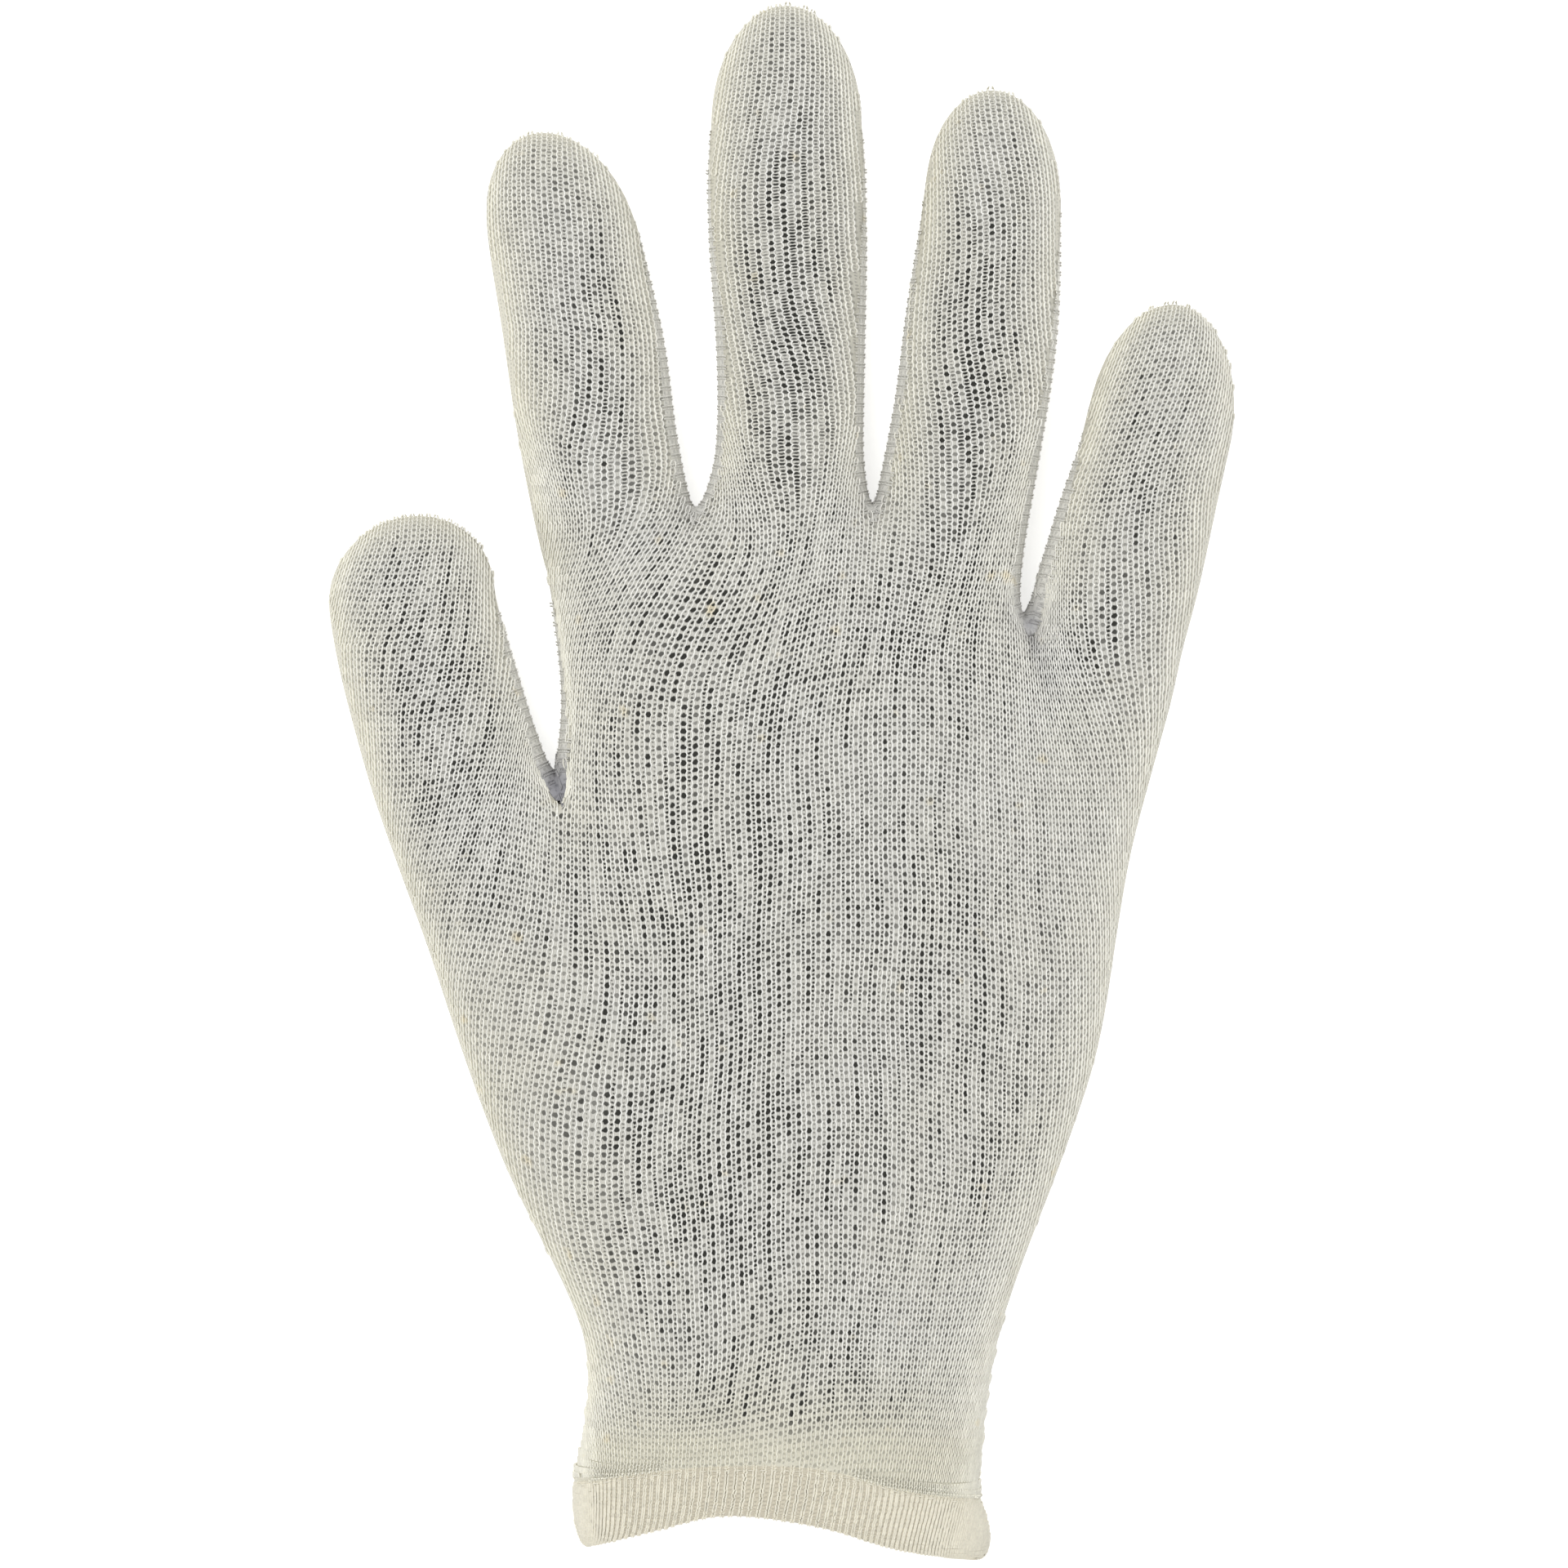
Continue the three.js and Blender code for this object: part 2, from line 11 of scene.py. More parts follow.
import bmesh
import bpy
import numpy as np
from mathutils.bvhtree import BVHTree
from mathutils.kdtree import KDTree
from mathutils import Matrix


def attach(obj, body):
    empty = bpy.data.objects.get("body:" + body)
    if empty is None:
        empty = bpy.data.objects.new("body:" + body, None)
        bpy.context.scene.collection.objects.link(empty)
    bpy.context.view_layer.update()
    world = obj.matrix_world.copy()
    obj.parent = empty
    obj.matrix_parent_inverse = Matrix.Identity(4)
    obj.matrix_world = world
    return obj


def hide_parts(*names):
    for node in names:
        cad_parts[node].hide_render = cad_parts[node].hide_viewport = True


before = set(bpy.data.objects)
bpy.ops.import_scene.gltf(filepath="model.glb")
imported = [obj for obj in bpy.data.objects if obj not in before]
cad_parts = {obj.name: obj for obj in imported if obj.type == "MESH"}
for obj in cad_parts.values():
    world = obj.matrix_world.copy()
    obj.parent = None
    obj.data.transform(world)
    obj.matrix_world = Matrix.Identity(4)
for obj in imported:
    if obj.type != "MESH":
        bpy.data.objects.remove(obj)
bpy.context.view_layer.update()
MM = 0.001
print("CAD pieces:", sorted(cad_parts))

# %% [markdown]
# ## The camera
#
# The photograph looks straight down on a glove that lies palm down. A long lens from well above
# gives the same flat outline, and the picture is 251 mm wide at the height of the side seams.
# The camera could also be orthographic, but a real lens keeps a little depth in the domed back.

# %% Hang the camera over the glove
PICTURE_WIDTH = 251.0 * MM
SEAM_HEIGHT = 9.0 * MM
LENS = 150.0
SENSOR = 36.0


def add_object(name, data):
    """A new object in the scene."""
    made = bpy.data.objects.new(name, data)
    bpy.context.collection.objects.link(made)
    return made


camera = add_object("overhead_camera", bpy.data.cameras.new("overhead_camera"))
camera.data.lens = LENS
camera.data.sensor_width = SENSOR
camera.data.clip_start = 0.05
camera.data.clip_end = 50.0
camera.location = (0.5 * MM, -0.5 * MM, SEAM_HEIGHT + PICTURE_WIDTH * LENS / SENSOR)
bpy.context.scene.camera = camera
print("camera height in m:", round(camera.location.z, 3))

# %% [markdown]
# ## The table and the light
#
# Product pictures of white cloth are lit from all round, so that the cloth reads as white and
# only the small dips between the yarns stay dark. Here that is a pale world, one wide soft lamp
# high on the left and a weaker one low on the right. The lamps are large, because a small lamp
# would draw hard shadows that a knit doesn't show. The table glows a little too, as a light table
# does, which is why the gaps between the fingers stay nearly white. It lies as far below the cloth
# as the stitches may stand out of it.

# %% Lay the table and set the lamps
STITCH_DEPTH = 0.35 * MM
TABLE_SIZE = 8.0
TABLE_LOOK = {
    "Base Color": (0.9, 0.9, 0.9, 1.0),
    "Roughness": 0.9,
    "Emission Color": (1.0, 1.0, 1.0, 1.0),
    "Emission Strength": 0.5,
}
WORLD_STRENGTH = 0.82
LAMP_SIZE = 0.8

# name, place in m and power in watts
LAMPS = [
    ("high_left_lamp", (-0.35, 0.3, 1.3), 7.4),
    ("low_right_lamp", (0.9, -0.5, 0.6), 1.0),
]


def start_material(name, values):
    """A material whose shader has the given values."""
    material = bpy.data.materials.new(name)
    material.use_nodes = True
    for socket, value in values.items():
        material.node_tree.nodes["Principled BSDF"].inputs[socket].default_value = value
    return material


table_mesh = bpy.data.meshes.new("table")
half = TABLE_SIZE / 2
table_corners = [(-half, -half, 0), (half, -half, 0), (half, half, 0), (-half, half, 0)]
table_mesh.from_pydata(table_corners, [], [(0, 1, 2, 3)])
table_mesh.materials.append(start_material("pale_table", TABLE_LOOK))
table = add_object("table", table_mesh)
table.location.z = -STITCH_DEPTH

for name, place, watts in LAMPS:
    lamp = add_object(name, bpy.data.lights.new(name, "AREA"))
    lamp.data.size = LAMP_SIZE
    lamp.data.energy = watts
    lamp.location = place
    lamp.rotation_euler = (-lamp.location).to_track_quat("-Z", "Y").to_euler()
world = bpy.data.worlds.new("pale_studio")
world.use_nodes = True
world.node_tree.nodes["Background"].inputs["Color"].default_value = (1.0, 1.0, 1.0, 1.0)
world.node_tree.nodes["Background"].inputs["Strength"].default_value = WORLD_STRENGTH
bpy.context.scene.world = world
bpy.context.scene.view_settings.view_transform = "Standard"

# %% [markdown]
# ## How the ribs run
#
# A rib is one long column of loops. On the hand it doesn't stay straight: where a finger pulls the
# cloth, the ribs lean towards it. The pulls below were measured on the photograph as the lean of
# the ribs from the vertical. Each is a soft round patch, and the patches add up.
#
# To number the ribs, each point of the cloth is followed back along its own rib to one row across
# the palm, where the ribs are even. The place where it lands gives its number. That keeps every
# rib whole from the hem to the fingertip, which no flat or box projection could do.

# %% Name the pulls in the cloth
RIB_WIDTH = 1.56
COURSE_HEIGHT = 1.33
PALM_ROW = -20.0
PALM_CENTRE = -5.0
SIDE_NARROWING = 0.2
NARROWING_REACH = 45.0
LEAN_STEPS = 40
WRIST_MIDDLE = -95.0
WRIST_REACH = 25.0
WRIST_GATHER = 0.005
WRIST_SIDE_GATHER = 0.0035
WRIST_SIDE = 25.0

# name, x and y of the middle, reach across and along the hand, all in mm, and lean in degrees
PULLS = [
    ("index base", -23, 36, 16, 16, 27),
    ("index side of palm", -8, 26, 22, 16, 14),
    ("index bend", -32, 70, 11, 16, -7),
    ("middle bend", -2, 69, 9, 14, -17),
    ("middle tip", -3, 106, 10, 14, 8),
    ("ring base", 27, 29, 10, 10, 11),
    ("ring bend", 31, 62, 9, 12, -6),
    ("ring tip", 30, 104, 10, 11, -13),
    ("little base", 50, 16, 9, 11, -16),
    ("ring side", 41, 36, 6, 14, 8),
    ("little finger", 63, 60, 13, 22, 23),
    ("little edge of palm", 52, -10, 13, 20, -9),
    ("thumb", -55, 0, 15, 24, 18),
    ("thumb base", -46, -31, 15, 18, 10),
    ("below the web", -24, -10, 11, 15, -9),
    ("heel at the thumb", -36, -52, 13, 14, 9),
    ("wrist", -14, -100, 16, 12, 8),
    ("hem", 0, -121, 40, 11, 15),
]


def nearness(x, y, patch):
    """From 1 in the middle of a soft round patch to 0 far from it."""
    _, centre_x, centre_y, across, along, _ = patch
    return np.exp(-(((x - centre_x) / across) ** 2) - ((y - centre_y) / along) ** 2)


def rib_lean(x, y):
    """How far a rib moves sideways for each mm that it climbs."""
    gather = WRIST_GATHER + WRIST_SIDE_GATHER * (x / WRIST_SIDE) ** 2
    total = gather * x * np.exp(-(((y - WRIST_MIDDLE) / WRIST_REACH) ** 2))
    for pull in PULLS:
        total += math.tan(math.radians(pull[-1])) * nearness(x, y, pull)
    return total


def follow_ribs(x, y):
    """The number of the rib through each point, followed back along it to the palm row."""
    step = (PALM_ROW - y) / LEAN_STEPS
    for _ in range(LEAN_STEPS):
        middle = x + rib_lean(x, y) * step / 2
        x = x + rib_lean(middle, y + step / 2) * step
        y = y + step
    offset = x - PALM_CENTRE
    return (offset + SIDE_NARROWING * offset**3 / (3 * NARROWING_REACH**2)) / RIB_WIDTH


sample_x = np.array([-30.0, 0.0, 30.0])
sample_y = np.zeros(3)
print("ribs followed from the middle of the hand:", follow_ribs(sample_x, sample_y).round(1))

# %% [markdown]
# ## How the ribs fan out into the digits
#
# A digit is knitted as wide as it needs to be, so its ribs have their own width, and they lean as
# its middle line does. Between the palm and each digit's foot the count goes over smoothly from
# the one to the other. A long gentle wobble on top keeps the ribs from looking ruled.

# %% Give each digit its ribs
# name, x and y of its foot, x and y of its tip, and half its width, all in mm, then the width of
# its ribs at the foot, halfway and at the tip, and the height of its rows
DIGITS = [
    ("thumb", -52, 3, -59.5, 38, 15.5, (1.6, 1.65, 1.4), 1.2),
    ("index", -27.5, 43, -37.5, 100, 14.2, (2.3, 1.8, 1.85), 1.14),
    ("middle", 1.2, 43, 1.2, 120, 14.2, (2.3, 2.45, 1.7), 1.0),
    ("ring", 28.3, 43, 35.3, 102, 14.0, (2.35, 2.0, 1.93), 1.12),
    ("little", 52.3, 26, 63.8, 70, 13.6, (1.85, 1.65, 1.44), 1.2),
]
FAN_START = 12.0
FAN_CLIMB = 22.0
FAN_SIDE = 12.0
SIDE_ROOM = 0.2
SIDE_ROOM_CLIMB = 20.0

# reach across, reach along and start of each long wave in the ribs
RIB_WAVES = [(9.7, 6.1, 0.0), (-5.3, 3.9, 1.3), (15.0, -8.3, 2.1)]
RIB_WANDER = 0.25


def wander(x, y, waves):
    """A gentle wobble between -1 and 1, made of long waves."""
    return sum(np.sin(x / across + y / along + start) for across, along, start in waves) / len(waves)


def ease(share):
    """Goes from 0 to 1 with a soft start and a soft end."""
    share = np.clip(share, 0, 1)
    return share**2 * (3 - 2 * share)


def find_digits(x, y):
    """For each point its digit's middle line, rib width and added rows, or a foot out of reach."""
    found = {"foot_y": np.inf, "slant": 0.0, "rib_width": RIB_WIDTH, "rows": 0.0, "side": 0.0}
    found = {name: np.full_like(x, value) for name, value in found.items()}
    found["middle_x"] = x
    nearest = np.full_like(x, np.inf)
    for _, foot_x, foot_y, tip_x, tip_y, half_width, rib_widths, row_height in DIGITS:
        slant = (tip_x - foot_x) / (tip_y - foot_y)
        middle_x = foot_x + (y - foot_y) * slant
        distance = np.abs(x - middle_x)
        reach = half_width + SIDE_ROOM * np.clip(y - foot_y, 0, SIDE_ROOM_CLIMB)
        mine = (y > foot_y - FAN_START) & (distance < np.minimum(reach, nearest))
        nearest = np.where(mine, distance, nearest)
        here = {
            "foot_y": foot_y,
            "slant": slant,
            "rib_width": np.interp(y, [foot_y, (foot_y + tip_y) / 2, tip_y], rib_widths),
            "rows": 1 / row_height - 1 / COURSE_HEIGHT,
            "side": ease((half_width - distance) / FAN_SIDE),
            "middle_x": middle_x,
        }
        found = {name: np.where(mine, here[name], found[name]) for name in found}
    found["rise"] = np.maximum(y - found["foot_y"], 0)
    found["climb"] = np.maximum(y - found["foot_y"] + FAN_START, 0)
    early = FAN_START * (found["side"] - 1)
    found["fan"] = ease(np.maximum(found["climb"] + early, 0) / FAN_CLIMB)
    return found


def digit_number(x, y, digits):
    """The rib number where a digit has its own rib width and its ribs lean as its middle line's do."""
    step = digits["climb"] / LEAN_STEPS
    line_x = digits["middle_x"] - digits["climb"] * digits["slant"]
    line_y = y - digits["climb"]
    foot = follow_ribs(line_x, line_y)
    shift = x - digits["middle_x"]
    for number in range(LEAN_STEPS):
        done = (number + 0.5) * step
        lean = rib_lean(line_x + done * digits["slant"], line_y + done)
        shift = shift + (digits["slant"] - lean) * step
    return foot + shift / digits["rib_width"]


def rib_number(x, y, digits):
    """The rib number of each point. Towards a digit the ribs fan out to the digit's own width."""
    followed = follow_ribs(x, y)
    own = digit_number(x, y, digits)
    return followed + digits["fan"] * (own - followed) + RIB_WANDER * wander(x, y, RIB_WAVES)


sample_ribs = rib_number(sample_x, sample_y, find_digits(sample_x, sample_y))
print("rib numbers across the palm:", sample_ribs.round(1))

# %% [markdown]
# ## The rows of loops
#
# Rows cross the ribs and would be level on a flat piece of cloth. Here most of them rise to the
# right by what was measured on the photograph, and in the digits they lie closer together.

# %% Count the rows
ROWS_SETTLE = 12.0

# name, x and y of the middle and reach across and along the hand in mm, and the slope of the rows
ROW_TILTS = [
    ("thumb", -55, 12, 14, 30, 0.2),
    ("index base", -28, 34, 16, 16, 0.3),
    ("index", -35, 70, 12, 22, -0.21),
    ("middle", 1, 70, 14, 30, 0.15),
    ("ring", 32, 66, 12, 25, 0.27),
    ("little", 58, 48, 12, 25, 0.22),
    ("upper hand", 0, 22, 20, 18, 0.28),
    ("palm", -7, -12, 25, 22, 0.17),
    ("right of palm", 34, -18, 16, 30, -0.16),
    ("heel", -10, -58, 24, 24, 0.33),
    ("wrist", -2, -95, 20, 14, 0.25),
]

# reach across, reach along and start of each long wave in the rows
ROW_WAVES = [(7.3, 11.9, 0.5), (-4.9, 8.3, 2.7), (12.0, -15.0, 1.1)]
ROW_WANDER = 0.5


def course_number(x, y, digits):
    """The number of the row of loops at each point. Most rows rise to the right."""
    rise = np.zeros_like(x)
    for tilt in ROW_TILTS:
        rise += tilt[-1] * (x - tilt[1]) * nearness(x, y, tilt)
    added = digits["rows"] * digits["rise"] ** 2 / (digits["rise"] + ROWS_SETTLE)
    return (y - rise) / COURSE_HEIGHT + added + ROW_WANDER * wander(x, y, ROW_WAVES)


sample_rows = course_number(sample_x, sample_y, find_digits(sample_x, sample_y))
print("row numbers across the palm:", sample_rows.round(1))

# %% [markdown]
# ## Where the knit is open
#
# Stretched cloth shows dark eyelets between its ribs, and slack cloth hides them. The photograph
# has the widest eyelets down the middle of the fingers, in the hollow of the hand and above the
# wrist, and almost none on the edges and the hem. A short list of soft patches says where.

# %% Name the open patches
LEAST_OPEN = 0.25

# name, x and y of the middle, reach across and along the hand, all in mm, and openness to 1
OPEN_PATCHES = [
    ("index", -29, 68, 8, 26, 0.55),
    ("middle", 1, 74, 8, 32, 0.95),
    ("ring", 31, 68, 8, 28, 0.85),
    ("little", 57, 48, 8, 20, 0.45),
    ("thumb", -53, 15, 12, 22, 0.85),
    ("thumb tip", -58, 28, 9, 10, 0.5),
    ("thumb low", -50, -6, 11, 14, 0.7),
    ("palm", -12, -14, 22, 26, 0.85),
    ("heel", -8, -62, 22, 26, 0.95),
    ("upper hand", -12, 24, 20, 20, 0.65),
    ("knuckles", 16, 20, 18, 14, 0.6),
    ("ring base", 28, 32, 8, 12, 0.6),
    ("little base", 46, 22, 8, 9, 0.8),
    ("right of palm", 25, -28, 16, 30, 0.55),
    ("right of heel", 38, -60, 12, 25, 0.4),
    ("wrist", 2, -94, 20, 12, 0.55),
]


def openness(x, y):
    """From 0, closed, to 1, wide open, at points in mm."""
    closed = np.full_like(x, 1 - LEAST_OPEN)
    for patch in OPEN_PATCHES:
        closed *= 1 - patch[-1] * nearness(x, y, patch)
    return 1 - closed


print("openness of palm and edge:", openness(np.array([-12.0, 60.0]), np.array([-14.0, -20.0])).round(2))

# %% [markdown]
# ## The cloth under the stitches
#
# The CAD walls have the right size but flat faces. A copy of each wall is merged, its triangles
# are paired back into quads, and Catmull-Clark subdivision gives it the soft lie of cloth: two
# rounds, or one for the palm panel, which lies out of sight. A knit is also a little thicker than
# its CAD wall, so every point then moves out along its normal by 0.2 mm. Sculpting or a cloth
# simulation could do this too, but neither would keep the measured outline.

# %% Smooth a copy of a CAD wall
CLOTH_LOFT = 0.2 * MM
ROUNDING_LEVELS = 2
UNDERSIDE_LEVELS = 1
SEAM_GAP = 0.9 * MM
SEAM_ANGLE = math.radians(45)
PAIR_ANGLE = math.radians(50)
PAIR_SHAPE_ANGLE = math.radians(70)
MERGE_DISTANCE = 0.002 * MM


def move_points(mesh, points):
    """Gives a mesh's vertices new places."""
    mesh.vertices.foreach_set("co", points.ravel())
    mesh.update()


def freeze(piece):
    """Replaces a piece's modifiers with the plain mesh that they make."""
    bpy.context.view_layer.update()
    evaluated = piece.evaluated_get(bpy.context.evaluated_depsgraph_get())
    mesh = bpy.data.meshes.new_from_object(evaluated)
    mesh.name = piece.name
    piece.modifiers.clear()
    piece.data = mesh
    return mesh


def read_vectors(items, field):
    """A field of three numbers for each vertex or face, as an array."""
    values = np.empty(len(items) * 3, np.float32)
    items.foreach_get(field, values)
    return values.reshape(-1, 3).astype(float)


def point_tree(mesh):
    """A search tree of a mesh's vertices."""
    tree = KDTree(len(mesh.vertices))
    for number, vertex in enumerate(mesh.vertices):
        tree.insert(vertex.co, number)
    tree.balance()
    return tree


def seam_distance(node, place):
    """How far a place is from the nearest other wall."""
    return min(tree.find(place)[2] for other, tree in wall_trees.items() if other != node)


def smooth_cloth(name, node):
    """A rounded, slightly thicker copy of a CAD node's wall, still sharp where it meets another."""
    work = bmesh.new()
    work.from_mesh(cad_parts[node].data)
    bmesh.ops.remove_doubles(work, verts=work.verts, dist=MERGE_DISTANCE)
    bmesh.ops.join_triangles(
        work,
        faces=work.faces,
        angle_face_threshold=PAIR_ANGLE,
        angle_shape_threshold=PAIR_SHAPE_ANGLE,
    )
    crease = work.edges.layers.float.new("crease_edge")
    for edge in work.edges:
        at_seam = all(seam_distance(node, corner.co) < SEAM_GAP for corner in edge.verts)
        edge[crease] = float(at_seam and edge.calc_face_angle(0.0) > SEAM_ANGLE)
    mesh = bpy.data.meshes.new(name)
    work.to_mesh(mesh)
    work.free()
    cloth = add_object(name, mesh)
    levels = UNDERSIDE_LEVELS if node == "palm_panel" else ROUNDING_LEVELS
    rounding = cloth.modifiers.new("rounding", "SUBSURF")
    rounding.levels = levels
    rounding.render_levels = levels
    mesh = freeze(cloth)
    points = read_vectors(mesh.vertices, "co") + CLOTH_LOFT * read_vectors(mesh.vertices, "normal")
    points[:, 2] = np.maximum(points[:, 2], 0.0)
    move_points(mesh, points)
    mesh.shade_smooth()
    mesh.set_sharp_from_angle(angle=SEAM_ANGLE)
    return cloth


CLOTH_PIECES = {
    "back_panel": "back",
    "palm_panel": "palm",
    "cuff_hem": "hem",
    "gusset_thumb_index": "gusset",
    "gusset_index_middle": "gusset",
    "gusset_middle_ring": "gusset",
    "gusset_ring_little": "gusset",
}
wall_trees = {node: point_tree(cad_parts[node].data) for node in CLOTH_PIECES}
cloths = {node: smooth_cloth(f"{node}_cloth", node) for node in CLOTH_PIECES}
for node, cloth in cloths.items():
    print(cloth.name, len(cloth.data.polygons), "faces")

# %% [markdown]
# ## The seams and the fold
#
# The pieces of a real glove are sewn edge to edge. The CAD walls leave small gaps there, and the
# gussets end in straight cuts. So each gusset's ends are drawn out to points, and the edges of
# neighbouring walls are then drawn together. Last, a soft fold is pressed below the last fork,
# where the photograph shows the cloth buckling. A boolean union could join the pieces instead, but
# each has to stay a piece of its own.

# %% Close the seams and press the fold
SEAM_REACH = 1.2 * MM
POINT_START = 2.5 * MM
POINT_LENGTH = 3.2 * MM
POINT_SHARPNESS = 0.9
FOLD_START = np.array([39.6, 24.5]) * MM
FOLD_END = np.array([42.8, 13.0]) * MM
FOLD_WIDTH = 1.4 * MM
FOLD_DEPTH = 0.7 * MM
FOLD_FADE = 1.2


def fork_line(points):
    """The lowest point of a gusset and how far the gap's middle moves sideways for each mm up."""
    notch = points[points[:, 1].argmin()]
    middle = points.mean(0) - notch
    on_left = left_of_line(points, notch, middle[0] / middle[1])
    left, right = points[on_left], points[~on_left]
    tops = (left[left[:, 1].argmax()] + right[right[:, 1].argmax()]) / 2
    return notch, (tops[0] - notch[0]) / (tops[1] - notch[1])


def left_of_line(points, start, slant):
    """Which points lie left of a line that climbs from a start and moves sideways by its slant."""
    return points[:, 0] < start[0] + slant * (points[:, 1] - start[1])


def point_gusset(mesh):
    """Draws both upper ends of a gusset out to a point, so that the side seam closes above it."""
    points = read_vectors(mesh.vertices, "co")
    notch, slant = fork_line(points)
    on_left = left_of_line(points, notch, slant)
    for arm in (on_left, ~on_left):
        from_top = points[arm, 1].max() - points[:, 1]
        last = arm & (from_top < POINT_START)
        before = arm & (from_top < 3 * POINT_START) & ~last
        way = points[last].mean(0) - points[before].mean(0)
        share = arm * np.clip(1 - from_top / POINT_START, 0, 1)
        points[:, 2] += POINT_SHARPNESS * share * (points[last, 2].mean() - points[:, 2])
        points += POINT_LENGTH * share[:, None] ** 2 * way / np.linalg.norm(way)
    move_points(mesh, points)


def close_seams(pieces):
    """Draws the edges of neighbouring walls together, half the way from each side."""
    surfaces = {}
    for node, piece in pieces.items():
        places = [vertex.co.copy() for vertex in piece.data.vertices]
        faces = [tuple(face.vertices) for face in piece.data.polygons]
        surfaces[node] = BVHTree.FromPolygons(places, faces)
    for node, piece in pieces.items():
        others = [surface for other, surface in surfaces.items() if other != node]
        for vertex in piece.data.vertices:
            found = [surface.find_nearest(vertex.co, SEAM_REACH) for surface in others]
            near = [(hit[3], hit[0]) for hit in found if hit[0] is not None]
            if near:
                distance, place = min(near, key=lambda pair: pair[0])
                share = min(1.0, 2 - 2 * distance / SEAM_REACH)
                vertex.co = vertex.co.lerp(place, share / 2)
        piece.data.update()


def fold_nearness(points):
    """From 0 to 1, how near each point is to the fold beside the little finger."""
    run = FOLD_END - FOLD_START
    along = (points[:, :2] - FOLD_START) @ run / (run @ run)
    away = points[:, :2] - FOLD_START - np.clip(along, 0, 1)[:, None] * run
    distance = np.linalg.norm(away, axis=1)
    return np.exp(-((distance / FOLD_WIDTH) ** 2)) * np.clip(FOLD_FADE - along, 0, 1)


def press_fold(mesh):
    """Presses the soft fold that runs down from the fork between ring and little finger."""
    points = read_vectors(mesh.vertices, "co")
    points[:, 2] -= FOLD_DEPTH * fold_nearness(points) * (points[:, 2] > SEAM_HEIGHT)
    move_points(mesh, points)


GUSSETS = [node for node, kind in CLOTH_PIECES.items() if kind == "gusset"]
for node in GUSSETS:
    point_gusset(cloths[node].data)
close_seams(cloths)
press_fold(cloths["back_panel"].data)
print("gussets drawn out to points:", GUSSETS)

# %% [markdown]
# ## Numbering ribs and rows on the cloth
#
# Each vertex now gets two numbers, its rib and its row, stored as a UV map. Whole numbers of both
# fall on the eyelets, so the material and the stitches can't drift apart. Where the cloth turns
# down at the sides the camera sees it edge on, so the count goes on with the turn of its normal.
# On a gusset the ribs cross the strip, which gives the finger sides their small teeth.
#
# Only faces that look out of the glove count. How to tell them differs from piece to piece: up for
# the back, down for the palm, away from the wrist's middle for the hem, and into the gap between
# two fingers for a gusset.

# %% Tell outer faces and number the knit
WRIST_CENTRE = np.array([0.25, 0.0, 9.5])
WRIST_HALF = np.array([33.0, 1.0, 10.0])
GAP_LOOK_AHEAD = 4.0
CUT_END_RISE = 8.0
CUT_END_NORMAL = 0.6
TURN_ALLOWANCE = 4.2
HEM_ROWS = 2.0
TINY = 1e-6


def looks_out(kind, centres, normals):
    """Which faces look out of the glove, from their middles in mm and their normals."""
    if kind == "back":
        return normals[:, 2] > 0
    if kind == "palm":
        return normals[:, 2] < 0
    if kind == "hem":
        return (normals * (centres - WRIST_CENTRE) / WRIST_HALF**2)[:, [0, 2]].sum(1) > 0
    notch, slant = fork_line(centres)
    ahead = centres[:, 1] + GAP_LOOK_AHEAD
    gap_x = notch[0] + slant * (ahead - notch[1])
    faces_gap = normals[:, 0] * (gap_x - centres[:, 0]) + normals[:, 1] * GAP_LOOK_AHEAD > 0
    cut_end = (np.abs(normals[:, 1]) > CUT_END_NORMAL) & (centres[:, 1] > notch[1] + CUT_END_RISE)
    return faces_gap & ~cut_end


def knit_numbers(kind, points, normals):
    """The rib and row number of each vertex, from its place in mm and its outward normal."""
    x, y, z = points.T
    if kind == "gusset":
        notch, slant = fork_line(points)
        side = np.where(left_of_line(points, notch, slant), -1.0, 1.0)
        rib = side * np.hypot(x - notch[0], y - notch[1]) / RIB_WIDTH
        return np.stack([rib, z / COURSE_HEIGHT], 1)
    digits = find_digits(x, y)
    turn = normals[:, :2] * np.abs(normals[:, :2]) * TURN_ALLOWANCE
    rib = rib_number(x, y, digits) + turn[:, 0] / digits["rib_width"]
    course = course_number(x, y, digits) + turn[:, 1] / COURSE_HEIGHT
    return np.stack([rib, course * HEM_ROWS if kind == "hem" else course], 1)


def outward_normals(mesh, out):
    """Vertex normals that take in outer faces alone, so that a cut edge doesn't bend them."""
    normals = -read_vectors(mesh.vertices, "normal")
    face_normals = read_vectors(mesh.polygons, "normal")
    total = np.zeros_like(normals)
    for face, is_out, direction in zip(mesh.polygons, out, face_normals):
        if is_out:
            total[list(face.vertices)] += direction
    length = np.linalg.norm(total, axis=1)
    seen = length > TINY
    normals[seen] = total[seen] / length[seen, None]
    return normals


def number_cloth(mesh, kind):
    """Stores the knit numbers as a UV map, and returns them with the points and normals."""
    points = read_vectors(mesh.vertices, "co") / MM
    out = looks_out(kind, read_vectors(mesh.polygons, "center") / MM, read_vectors(mesh.polygons, "normal"))
    normals = outward_normals(mesh, out)
    numbers = knit_numbers(kind, points, normals)
    corner = np.empty(len(mesh.loops), int)
    mesh.loops.foreach_get("vertex_index", corner)
    uv = mesh.uv_layers.new(name="knit")
    uv.data.foreach_set("uv", numbers[corner].astype(np.float32).ravel())
    return {"points": points, "out": out, "normals": normals, "numbers": numbers}


knits = {node: number_cloth(cloths[node].data, kind) for node, kind in CLOTH_PIECES.items()}
for node, knit in knits.items():
    low, high = knit["numbers"].min(0), knit["numbers"].max(0)
    print(node, "ribs", low[0].round(), "to", high[0].round(), "rows", low[1].round(), "to", high[1].round())

